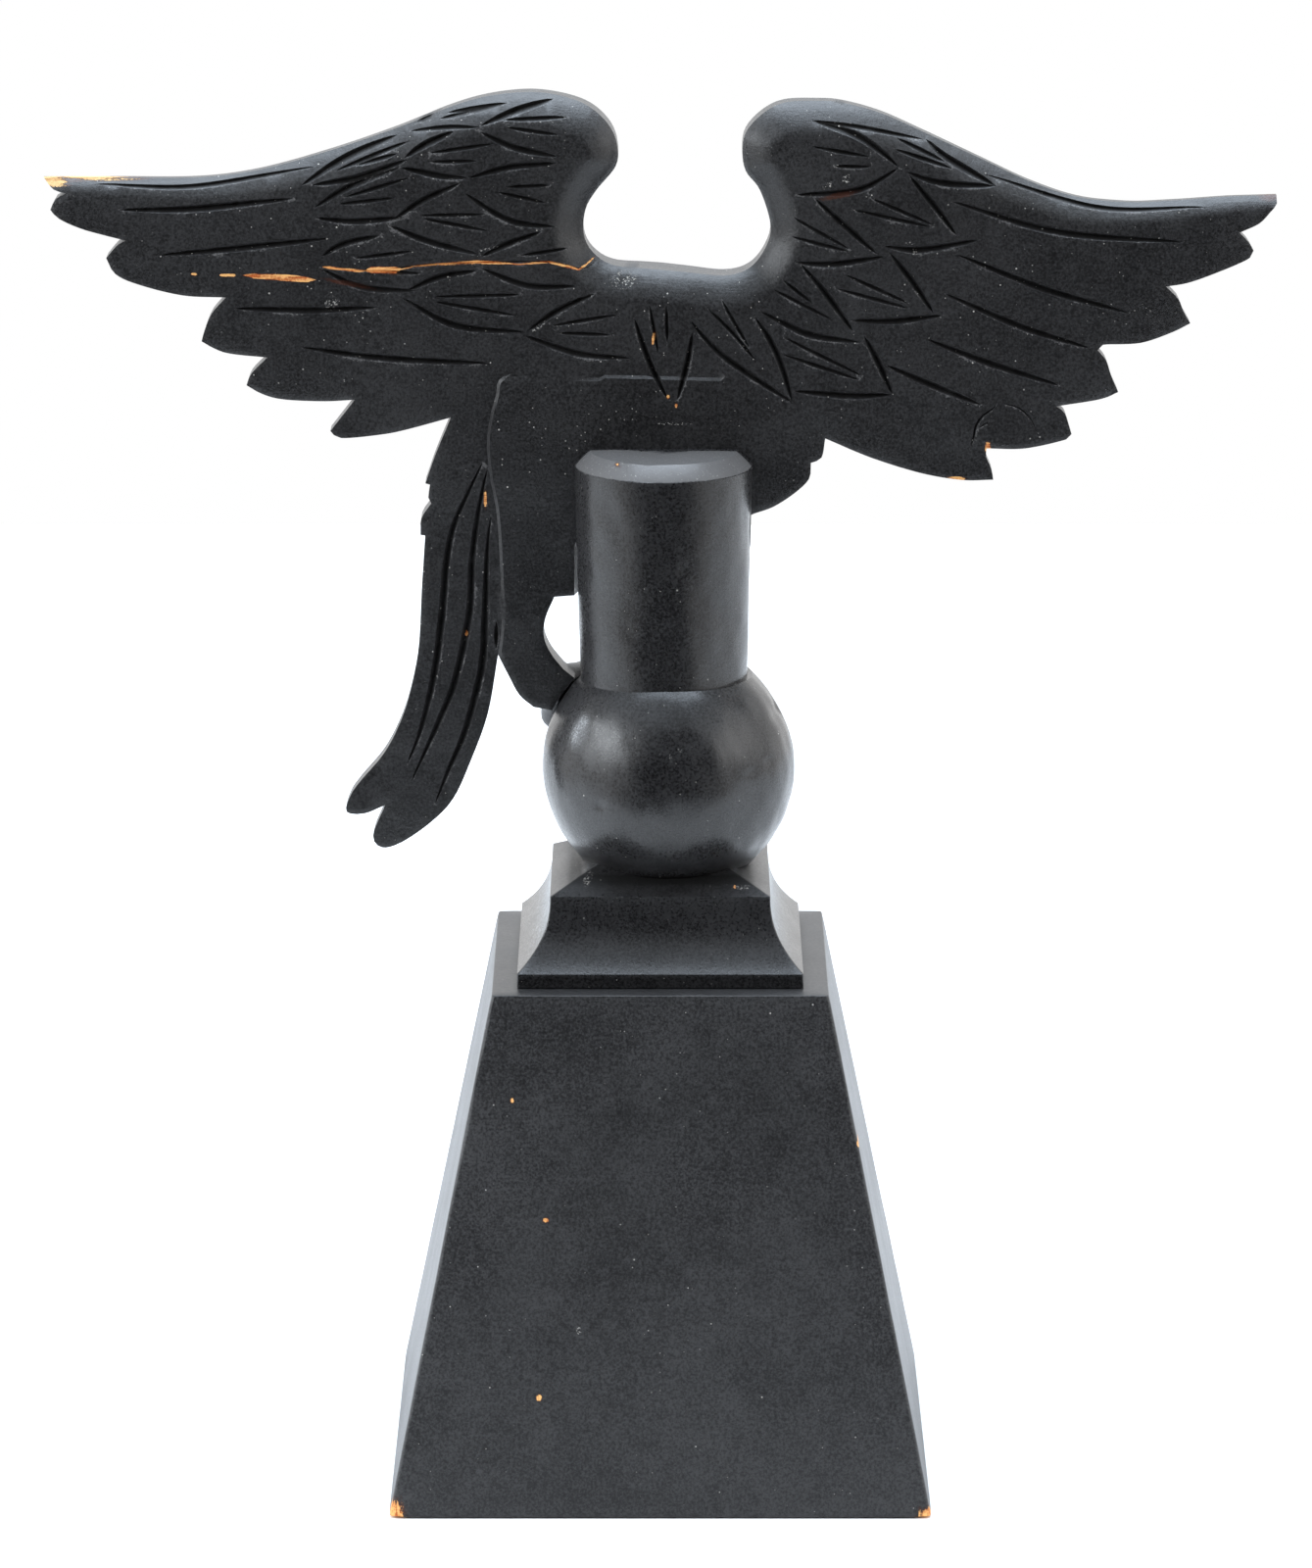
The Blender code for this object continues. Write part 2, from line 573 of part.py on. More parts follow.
def eagle_cuts():
    """Every cut of the wings, the shoulders and the tail."""
    cuts = []
    for feather in LEFT_COVERTS + RIGHT_COVERTS:
        cuts += feather_cuts(*feather)
    for path in LONG_FEATHER_CUTS + SHOULDER_CUTS + TAIL_CUTS:
        cuts.append(Cut(smooth_run(path, CUT_STEP), FEATHER_CUT_WIDTH, FEATHER_CUT_DEPTH))
    for start, end in SMALL_CUTS:
        cuts.append(Cut(bent(start, end, 0.0, BARB_STEP), BARB_CUT_WIDTH, BARB_CUT_DEPTH))
    return cuts


def ease(value):
    """A smooth step from 0 to 1."""
    t = np.clip(value, 0, 1)
    return t * t * (3 - 2 * t)


class Board:
    """The wings, the tail and the flat of the body, as two carved faces over one outline."""

    def __init__(self):
        self.outline, self.leading = eagle_outline(OUTLINE_STEP)
        self.cuts = eagle_cuts()
        self.pad = smooth_run(PAD_EDGE, OUTLINE_STEP)

    def inside(self, points, margin):
        """Which points lie within the outline, at least a margin from it."""
        closed = np.vstack([self.outline, self.outline[:1]])
        x, z = points[:, :1], points[:, 1:]
        ax, az, bx, bz = closed[:-1, 0], closed[:-1, 1], closed[1:, 0], closed[1:, 1]
        spans = (az > z) != (bz > z)
        rise = np.where(bz == az, 1.0, bz - az)
        crossings = (spans & (x < ax + (z - az) * (bx - ax) / rise)).sum(1)
        distance, _ = distance_to_path(points, closed)
        return (crossings % 2 == 1) & (distance > margin)

    def pad_share(self, points):
        """1 on the raised flat that meets the post, 0 on the wings and the tail."""
        distance, _ = distance_to_path(points, self.pad)
        left = np.interp(points[:, 1], self.pad[::-1, 1], self.pad[::-1, 0])
        within = (points[:, 1] < self.pad[:, 1].max()) & (points[:, 0] > left)
        step = np.where(within, np.clip(distance * UNIT / PAD_STEP_BREADTH, 0, 1), 0)
        fade = 1 - ease(((points[:, 0] - self.pad[0, 0]) * UNIT + PAD_FADE_LEAD) / PAD_FADE)
        return step * fade

    def roll(self, edge):
        """How far the leading edge rolls over, from 1 at the edge to 0 where the face is flat."""
        lift = 1 - np.clip(edge * UNIT / EDGE_ROUND_BREADTH, 0, 1)
        return 1 - np.sqrt(1 - lift ** 2 * EDGE_ROUND_SHARE)

    def back(self, points):
        """Depth of the back face under each drawing point, in metres."""
        reach = np.abs(points[:, 0]) / (DRAWN_SPAN / 2)
        edge, _ = distance_to_path(points, self.leading)
        drop = EDGE_ROUND_DEPTH + (EDGE_ROUND_DEPTH_AT_TIP - EDGE_ROUND_DEPTH) * reach
        face = PAD_BACK + PAD_STEP + WING_BOW * reach ** 2 + drop * self.roll(edge)
        return face - PAD_STEP * self.pad_share(points)

    def thickness(self, points):
        """Thickness of the wood: a stout arm along the leading edge, thinner blades below it."""
        reach = np.clip(np.abs(points[:, 0]) / (DRAWN_SPAN / 2), 0, 1)
        edge, _ = distance_to_path(points, self.leading)
        arm = ARM_THICKNESS + (ARM_THICKNESS_AT_TIP - ARM_THICKNESS) * reach ** ARM_TAPER
        blade = BLADE_THICKNESS + (BLADE_THICKNESS_AT_TIP - BLADE_THICKNESS) * reach
        tail = ease((TAIL_THINS_BELOW - points[:, 1]) / TAIL_THINS_OVER)
        tail = tail * (points[:, 0] < TAIL_RIGHT_SIDE)
        blade = blade + (TAIL_TIP_THICKNESS - blade) * tail
        share = np.exp(-(np.maximum(edge * UNIT - EDGE_ROUND_BREADTH, 0) / ARM_BREADTH) ** 2)
        body = blade + (arm - blade) * share
        drop = EDGE_ROUND_DEPTH + (EDGE_ROUND_DEPTH_AT_TIP - EDGE_ROUND_DEPTH) * reach
        return body - (FRONT_ROUND_SHARE * body + drop) * self.roll(edge)

    def planar_mesh(self):
        """Triangles over the outline, with every cut, the pad's edge and rows along the edge."""
        points, edges = [], []
        rim = PAD_STEP_BREADTH / UNIT
        lines = [line for cut in self.cuts for line in cut.lines()]
        for line in lines + [self.pad[:-1], self.pad[:-1] + rim * side_of(self.pad[:-1])]:
            keep = self.inside(line, WALL_MARGIN)
            start = sum(map(len, points))
            points.append(line)
            edges += [(start + i, start + i + 1) for i in range(len(line) - 1) if keep[i] and keep[i + 1]]
        fixed = np.vstack(points)
        for share in EDGE_ROWS:
            reach = EDGE_ROUND_BREADTH / UNIT * share
            row = self.leading - reach * side_of(self.leading)
            clear = distance_to_path(row, self.leading)[0] > ROW_CLEAR * reach
            near = np.array([np.hypot(*(fixed - p).T).min() > POINT_MARGIN for p in row])
            points.append(row[clear & near & self.inside(row, WALL_MARGIN)])
        low, high = self.outline.min(0), self.outline.max(0)
        columns = np.arange(low[0], high[0], GRID_STEP)
        rows = np.arange(low[1], high[1], GRID_STEP * np.sqrt(0.75))
        grid = np.array([(x + GRID_STEP / 2 * (k % 2), z) for k, z in enumerate(rows) for x in columns])
        far = np.array([np.hypot(*(fixed - p).T).min() > GRID_MARGIN for p in grid])
        points.append(grid[far & self.inside(grid, GRID_MARGIN)])
        every = np.vstack([self.outline] + points)
        count = len(self.outline)
        face = list(range(count))[::-1]
        links = [(a + count, b + count) for a, b in edges]
        flat = [Vector(map(float, p)) for p in every]
        verts, _, faces, *_ = delaunay_2d_cdt(flat, links, [face], 1, 1e-4)
        return np.array([tuple(v) for v in verts]), [tuple(f) for f in faces]

    def depth_of_cuts(self, points):
        """The deepest cut under each point."""
        return np.max([cut.depth_at(points) for cut in self.cuts], axis=0)

    def build(self):
        """Back face, front face and the wall between them, as one closed solid."""
        flat, faces = self.planar_mesh()
        used = sorted({i for f in faces for i in f})
        order = {old: new for new, old in enumerate(used)}
        flat = flat[used]
        faces = [tuple(order[i] for i in f) for f in faces]
        placed = place(flat)
        cut = self.depth_of_cuts(flat)
        back = self.back(flat)
        front = back + self.thickness(flat)
        rear = np.column_stack([placed[:, 0], back + cut, placed[:, 1]])
        fore = np.column_stack([placed[:, 0], front - cut, placed[:, 1]])
        count = len(flat)
        directed = {(f[i], f[(i + 1) % 3]) for f in faces for i in range(3)}
        border = [(a, b) for a, b in directed if (b, a) not in directed]
        shell = [tuple(f) for f in faces] + [tuple(i + count for i in f[::-1]) for f in faces]
        for a, b in border:
            shell += [(b, a, a + count), (b, a + count, b + count)]
        return add_object("eagle", np.vstack([rear, fore]), shell)


def form_frames(stations):
    """Columns for each station of a rounded form: place, ahead, across and its three reaches."""
    rows = np.asarray(stations, dtype=float)
    model = place(rows[:, [0, 2]])
    path = np.column_stack([model[:, 0], PAD_BACK + rows[:, 1] * UNIT, model[:, 1]])
    tangent = np.gradient(path, axis=0)
    tangent /= np.linalg.norm(tangent, axis=1)[:, None]
    facing = np.array([0.0, 1.0, 0.0])
    ahead = facing - tangent * (tangent @ facing)[:, None]
    ahead /= np.linalg.norm(ahead, axis=1)[:, None]
    return np.column_stack([path, ahead, np.cross(ahead, tangent), rows[:, 3:] * UNIT])


def form_points(frames, sides):
    """Points of a rounded form, from frames given for each point of a ring or for a whole ring."""
    angles = np.arange(sides) * 2 * np.pi / sides
    cos, sin = np.cos(angles)[:, None], np.sin(angles)[:, None]
    frames = np.broadcast_to(frames, (len(frames), sides, frames.shape[-1]))
    centre, ahead, across = frames[..., 0:3], frames[..., 3:6], frames[..., 6:9]
    depth = np.where(sin > 0, frames[..., 10:11], frames[..., 11:12])
    return centre + across * frames[..., 9:10] * cos + ahead * depth * sin


def lofted(name, stations, sides=FORM_SIDES, spans=2):
    """A rounded form along a path, with its own depth before and behind the path."""
    frames = form_frames(smooth_spans(stations, spans))
    points = form_points(frames[:, None, :], sides)
    return add_object(name, points.reshape(-1, 3), ring_faces(len(points), sides))


def make_body():
    """The body and neck, with rows of breast feathers that lap towards the tail."""
    frames = form_frames(smooth_spans(BODY, 2))
    last = len(frames) - 1.0
    sides = FEATHER_SPANS * BODY_FEATHERS_AROUND
    bounds = np.linspace(ROWS_START, last - ROWS_STOP, BODY_FEATHER_ROWS + 1)
    pitch = bounds[1] - bounds[0]
    around = np.arange(sides) / FEATHER_SPANS
    spots, flares = [np.zeros(sides)], [0.0]
    for number, low in enumerate(bounds[:-1]):
        lobes = np.abs(np.sin(np.pi * (around + 0.5 * (number % 2))))
        edge = low - SCALLOP * pitch * lobes
        spots += [edge, edge + ROW_LIP * pitch, np.full(sides, low + ROW_HEEL * pitch)]
        flares += [0.0, 1.0, ROW_HEEL_RELIEF]
    spots += [np.full(sides, bounds[-1]), np.full(sides, last)]
    flares += [0.0, 0.0]
    spots = np.clip(np.array(spots), 0, last)
    columns = [np.interp(spots, np.arange(len(frames)), column) for column in frames.T]
    grid = np.stack(columns, axis=-1)
    grid[..., 9:12] += np.array(flares)[:, None, None] * BREAST_FEATHER_RELIEF
    points = form_points(grid, sides)
    return add_object("body_form", points.reshape(-1, 3), ring_faces(len(points), sides))


def toe(name, root, end):
    """One toe and its talon, bent over the ball."""
    root, end = (np.asarray(v, dtype=float) / np.linalg.norm(v) for v in (root, end))
    turn = np.arccos(root @ end)
    shares, lifts, girths = np.array(TOE_RINGS).T
    heads = (np.sin((1 - shares) * turn)[:, None] * root + np.sin(shares * turn)[:, None] * end) / np.sin(turn)
    girth = TALON_THICKNESS + (TOE_THICKNESS - TALON_THICKNESS) * girths
    radius = BALL_RADIUS + lifts * girth * UNIT
    path = np.array([BALL_LEAN, 0.0, BALL_CENTRE]) + heads * radius[:, None]
    tangent = np.gradient(path, axis=0)
    tangent /= np.linalg.norm(tangent, axis=1)[:, None]
    across = np.cross(heads, tangent)
    across /= np.linalg.norm(across, axis=1)[:, None]
    outward = np.cross(tangent, across)
    angles = np.arange(TOE_SIDES) * 2 * np.pi / TOE_SIDES
    reach = (girth * UNIT)[:, None, None]
    rings = path[:, None] + reach * (across[:, None] * np.cos(angles)[None, :, None]
                                     + outward[:, None] * np.sin(angles)[None, :, None])
    return add_object(name, rings.reshape(-1, 3), ring_faces(len(rings), TOE_SIDES))


def foot_root(foot):
    """The last station of a shank, where its foot stands over the ball."""
    head = np.asarray(foot, dtype=float) / np.linalg.norm(foot)
    at = np.array([BALL_LEAN, 0.0, BALL_CENTRE]) + head * (BALL_RADIUS + TOE_THICKNESS * UNIT)
    x, z = unplace([(at[0], at[2])])[0]
    return (x, (at[1] - PAD_BACK) / UNIT, z) + ANKLE


def make_eye():
    """The round eye."""
    x, y, z, radius = EYE
    turns = np.radians(np.linspace(-EYE_TURN, EYE_TURN, EYE_RINGS))
    bead = turned("eye", [(radius * UNIT * np.cos(a), radius * UNIT * np.sin(a)) for a in turns], 0.0,
                  EYE_SIDES)
    at = place([(x, z)])[0]
    bead.data.transform(Matrix.Translation((at[0], PAD_BACK + y * UNIT, at[1])))
    return bead


def seat_cut():
    """The room that the eagle leaves for the ball and for the post below its shoulder."""
    grown = POST_TOP_RADIUS + CLEARANCE
    ball = turned("ball_room", ball_profile(CLEARANCE), BALL_LEAN)
    post = turned("post_room", [(grown, BALL_CENTRE), (grown, SHOULDER + CLEARANCE)], POST_LEAN)
    return ball, post


def make_eagle():
    """The whole bird as one carved solid."""
    eagle = Board().build()
    forms = [make_body(), lofted("head_form", HEAD)]
    forms += [lofted(name, stations) for name, stations in FORMS.items()]
    forms.append(make_eye())
    for side, root, ends in (("front", FRONT_FOOT, FRONT_TOES), ("rear", REAR_FOOT, REAR_TOES)):
        shank = f"{side}_shank"
        forms.append(lofted(shank, SHANKS[shank] + [foot_root(root)]))
        forms += [toe(f"{side}_toe_{number}", root, end) for number, end in enumerate(ends, 1)]
    boolean_group(eagle, "eagle_forms", forms, "UNION")
    boolean_group(eagle, "eagle_rooms", seat_cut(), "DIFFERENCE")
    return eagle


def main():
    """Makes the three pieces and gives each its finish."""
    clear_scene()
    finishes = {
        "pedestal": material("Black painted pedestal", BLACK_PAINT, 0.42),
        "post": material("Black painted post", BLACK_PAINT, 0.38),
        "eagle": material("Black painted carving", BLACK_PAINT, 0.45),
    }
    for piece in (make_pedestal(), make_post(), make_eagle()):
        piece.data.materials.append(finishes[piece.name])


main()
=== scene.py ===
"""Carved wooden eagle in worn black paint, on its ball, post and tapered pedestal.

The photographed side is the eagle's flat back, which faces -Y. Lengths are metres. The carving is
drawn in millimetres over the span of the wings, with heights taken above the pedestal's underside,
and Carver.place turns drawn points into the frame.
"""

import logging
from dataclasses import dataclass, field
from enum import Enum

import bpy
import numpy as np
from mathutils import Matrix, Vector
from mathutils.geometry import delaunay_2d_cdt


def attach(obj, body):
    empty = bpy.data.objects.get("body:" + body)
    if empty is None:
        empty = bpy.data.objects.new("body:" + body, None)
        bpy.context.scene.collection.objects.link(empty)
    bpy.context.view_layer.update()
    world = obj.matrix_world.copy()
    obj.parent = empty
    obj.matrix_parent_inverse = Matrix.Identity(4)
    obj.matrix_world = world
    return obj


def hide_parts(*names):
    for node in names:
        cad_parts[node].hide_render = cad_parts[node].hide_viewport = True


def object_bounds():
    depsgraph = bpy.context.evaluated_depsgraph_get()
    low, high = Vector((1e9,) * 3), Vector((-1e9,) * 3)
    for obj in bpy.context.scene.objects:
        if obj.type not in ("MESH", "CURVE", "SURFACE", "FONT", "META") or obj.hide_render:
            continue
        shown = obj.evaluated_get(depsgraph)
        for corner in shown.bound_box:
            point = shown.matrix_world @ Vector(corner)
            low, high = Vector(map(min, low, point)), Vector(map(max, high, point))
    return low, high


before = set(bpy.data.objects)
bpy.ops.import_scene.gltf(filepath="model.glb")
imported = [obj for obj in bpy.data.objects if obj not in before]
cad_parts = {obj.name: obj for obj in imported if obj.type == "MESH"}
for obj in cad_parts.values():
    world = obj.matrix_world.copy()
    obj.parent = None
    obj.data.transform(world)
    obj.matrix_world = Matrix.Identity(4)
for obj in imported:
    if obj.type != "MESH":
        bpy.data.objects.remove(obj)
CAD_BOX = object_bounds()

log = logging.getLogger("eagle")

CLEARANCE = 0.0003
MM = 0.001


class Slot(Enum):
    """Names for material slots, which this script does not use."""

    CARVING = "carving_paint"
    POST = "post_paint"
    PEDESTAL = "pedestal_paint"


class Mark(Enum):
    """Point attributes that the finishes read, each from 0 to 1."""

    BARE = "bare"
    # painted shade, darkening the cuts and the groove under the ball
    CUT = "cut"
    # paint wear, and a painted highlight on the post's top chamfer and along the flat's upper edge
    WEAR_AND_HIGHLIGHT = "wear_and_highlight"
    RIM = "rim"
    FILLER = "filler"


# Shader graph

class Num:
    """A number that varies over a surface. Arithmetic on it adds Math nodes."""

    def __init__(self, graph: "Graph", socket: bpy.types.NodeSocket) -> None:
        """Wraps an output socket of a graph."""
        self.graph = graph
        self.socket = socket

    def _math(self, operation: str, *values: "Num | float", clamp: bool = False) -> "Num":
        """One Math node on the given values."""
        node = self.graph.node(
            "ShaderNodeMath", {"operation": operation, "use_clamp": clamp}, dict(enumerate(values)))
        return Num(self.graph, node.outputs[0])

    def __add__(self, other: "Num | float") -> "Num":
        """Sum."""
        return self._math("ADD", self, other)

    __radd__ = __add__

    def __sub__(self, other: "Num | float") -> "Num":
        """Difference."""
        return self._math("SUBTRACT", self, other)

    def __rsub__(self, other: float) -> "Num":
        """Difference from a plain number."""
        return self._math("SUBTRACT", other, self)

    def __mul__(self, other: "Num | float") -> "Num":
        """Product."""
        return self._math("MULTIPLY", self, other)

    __rmul__ = __mul__

    def top(self, other: "Num | float") -> "Num":
        """The larger of two values."""
        return self._math("MAXIMUM", self, other)

    def step(self, low: float, high: float) -> "Num":
        """A smooth step from 0 at low to 1 at high.

        Args:
            low: value that gives 0.
            high: value that gives 1. It may be the smaller one, for a falling step.

        Returns:
            The stepped number.
        """
        node = self.graph.node(
            "ShaderNodeMapRange", {"interpolation_type": "SMOOTHSTEP"},
            {"Value": self, "From Min": low, "From Max": high})
        return Num(self.graph, node.outputs["Result"])


class Graph:
    """A node tree that is being built."""

    def __init__(self, tree: bpy.types.NodeTree) -> None:
        """Takes the tree to build."""
        self.tree = tree

    def node(self, kind: str, settings: dict | None = None, inputs: dict | None = None) -> bpy.types.Node:
        """Adds a node.

        Args:
            kind: node type.
            settings: properties, set first. "stops" fills a colour ramp with (place, colour) pairs.
            inputs: values or links, by socket name or number.

        Returns:
            The new node.
        """
        node = self.tree.nodes.new(kind)
        for key, value in (settings or {}).items():
            if key == "stops":
                ramp = node.color_ramp
                for number, (place, colour) in enumerate(value):
                    stop = ramp.elements[number] if number < 2 else ramp.elements.new(place)
                    stop.position, stop.color = place, colour
            else:
                setattr(node, key, value)
        for key, value in (inputs or {}).items():
            self.feed(node.inputs[key], value)
        return node

    def feed(self, socket: bpy.types.NodeSocket, value: object) -> None:
        """Links a socket or sets its value."""
        if isinstance(value, Num):
            value = value.socket
        if isinstance(value, bpy.types.NodeSocket):
            self.tree.links.new(value, socket)
        else:
            socket.default_value = value

    def blend(self, factor: "Num | float", low: object, high: object) -> bpy.types.NodeSocket:
        """Mixes two colours."""
        node = self.node("ShaderNodeMix", {"data_type": "RGBA"})
        for socket, value in zip((node.inputs[0], node.inputs[6], node.inputs[7]), (factor, low, high)):
            self.feed(socket, value)
        return node.outputs[2]


class Surface(Graph):
    """The node tree of one finish."""

    def __init__(self, name: str) -> None:
        """Starts a material with its Principled shader."""
        self.material = bpy.data.materials.new(name)
        self.material.use_nodes = True
        super().__init__(self.material.node_tree)
        self.shader = self.tree.nodes["Principled BSDF"]
        self.coordinates = self.node("ShaderNodeTexCoord").outputs["Object"]

    def mark(self, mark: Mark) -> Num:
        """A point attribute of the mesh."""
        node = self.node("ShaderNodeAttribute", {"attribute_name": mark.value})
        return Num(self, node.outputs["Fac"])

    def stretched(self, scale: tuple[float, float, float]) -> bpy.types.NodeSocket:
        """Object coordinates multiplied along each axis."""
        node = self.node("ShaderNodeMapping", None, {"Vector": self.coordinates, "Scale": scale})
        return node.outputs["Vector"]

    def noise(self, per_metre: float, detail: float = 2.0, roughness: float = 0.5,
              stretch: tuple[float, float, float] = (1.0, 1.0, 1.0)) -> Num:
        """Noise from 0 to 1, with a number of waves in a metre along each stretched axis."""
        node = self.node("ShaderNodeTexNoise", {"noise_dimensions": "3D"}, {
            "Vector": self.stretched(tuple(per_metre * s for s in stretch)),
            "Scale": 1.0, "Detail": detail, "Roughness": roughness})
        return Num(self, node.outputs["Fac"])

    def specks(self, per_metre: float, radius: float, share: float) -> Num:
        """Small round specks.

        Args:
            per_metre: cells in a metre.
            radius: radius of a speck in cells.
            share: share of the cells that hold a speck.

        Returns:
            1 on a speck and 0 elsewhere.
        """
        cells = self.node("ShaderNodeTexVoronoi", {"feature": "F1"}, {
            "Vector": self.stretched((per_metre,) * 3), "Scale": 1.0, "Randomness": 1.0})
        pick = self.node("ShaderNodeSeparateColor", None, {"Color": cells.outputs["Color"]})
        chosen = Num(self, pick.outputs[0]).step(1.0 - share, 1.0 - share + 0.001)
        size = Num(self, pick.outputs[1]) * (0.7 * radius) + 0.3 * radius
        near = size - Num(self, cells.outputs["Distance"])
        return chosen * near.step(0.0, 0.08 * radius + 0.01)

    def spot(self, x: float, y: float, z: float, long: float, deep: float, high: float,
             tilt: float = 0.0) -> Num:
        """Nearness to a marked spot, whose place and half sizes are in millimetres.

        Args:
            x, y, z: middle of the spot.
            long, deep, high: its half sizes along the axes.
            tilt: its turn about Y in degrees.

        Returns:
            1 in the middle, 0 on the spot's rim, and less outside.
        """
        place = self.node("ShaderNodeMapping", {"vector_type": "TEXTURE"}, {
            "Vector": self.coordinates, "Location": (x * MM, y * MM, z * MM),
            "Rotation": (0.0, np.radians(tilt), 0.0), "Scale": (long * MM, deep * MM, high * MM)})
        away = self.node("ShaderNodeVectorMath", {"operation": "LENGTH"}, {0: place.outputs["Vector"]})
        return 1.0 - Num(self, away.outputs["Value"])

    def spots(self, rows: tuple) -> Num:
        """The nearest of several spots."""
        near = self.spot(*rows[0])
        for row in rows[1:]:
            near = near.top(self.spot(*row))
        return near

    def strip(self, rows: tuple) -> Num:
        """Nearness to a crooked strip along X.

        A colour ramp along X holds the strip's height in its red and its half width in its green.

        Args:
            rows: x, z and half width in millimetres, from left to right. Less than 0 leaves a gap.

        Returns:
            0 on the strip's rim, 1 half a millimetre inside it, and less than 0 outside.
        """
        left, right = rows[0][0], rows[-1][0]
        z_low, z_span, width_low, width_span, soft_edge = 330.0, 20.0, -1.0, 3.0, 0.5
        place = self.node("ShaderNodeSeparateXYZ", None, {0: self.coordinates})
        along = (Num(self, place.outputs["X"]) - left * MM) * (1 / ((right - left) * MM))
        ramp = self.node("ShaderNodeValToRGB", {"stops": [
            ((x - left) / (right - left), ((z - z_low) / z_span, (half - width_low) / width_span, 0.0, 1.0))
            for x, z, half in rows]}, {0: along})
        parts = self.node("ShaderNodeSeparateColor", None, {0: ramp.outputs["Color"]})
        middle = Num(self, parts.outputs[0]) * (z_span * MM) + z_low * MM
        half = Num(self, parts.outputs[1]) * (width_span * MM) + width_low * MM
        height = Num(self, place.outputs["Z"])
        away = (height - middle).top(middle - height)
        return (half - away) * (1 / (soft_edge * MM))

    def bump(self, height: Num, depth: float) -> bpy.types.NodeSocket:
        """Normals of a height from 0 to 1 that is a depth in metres."""
        node = self.node("ShaderNodeBump", None, {"Height": height, "Distance": depth, "Strength": 1.0})
        return node.outputs["Normal"]

    def finish(self, **sockets: object) -> bpy.types.Material:
        """Feeds the Principled shader, with underscores for the spaces of its socket names."""
        for name, value in sockets.items():
            self.feed(self.shader.inputs[name.replace("_", " ")], value)
        return self.material


Colour = tuple[float, float, float, float]
NOWHERE = ((0.0, 0.0, -900.0, 1.0, 1.0, 1.0),)


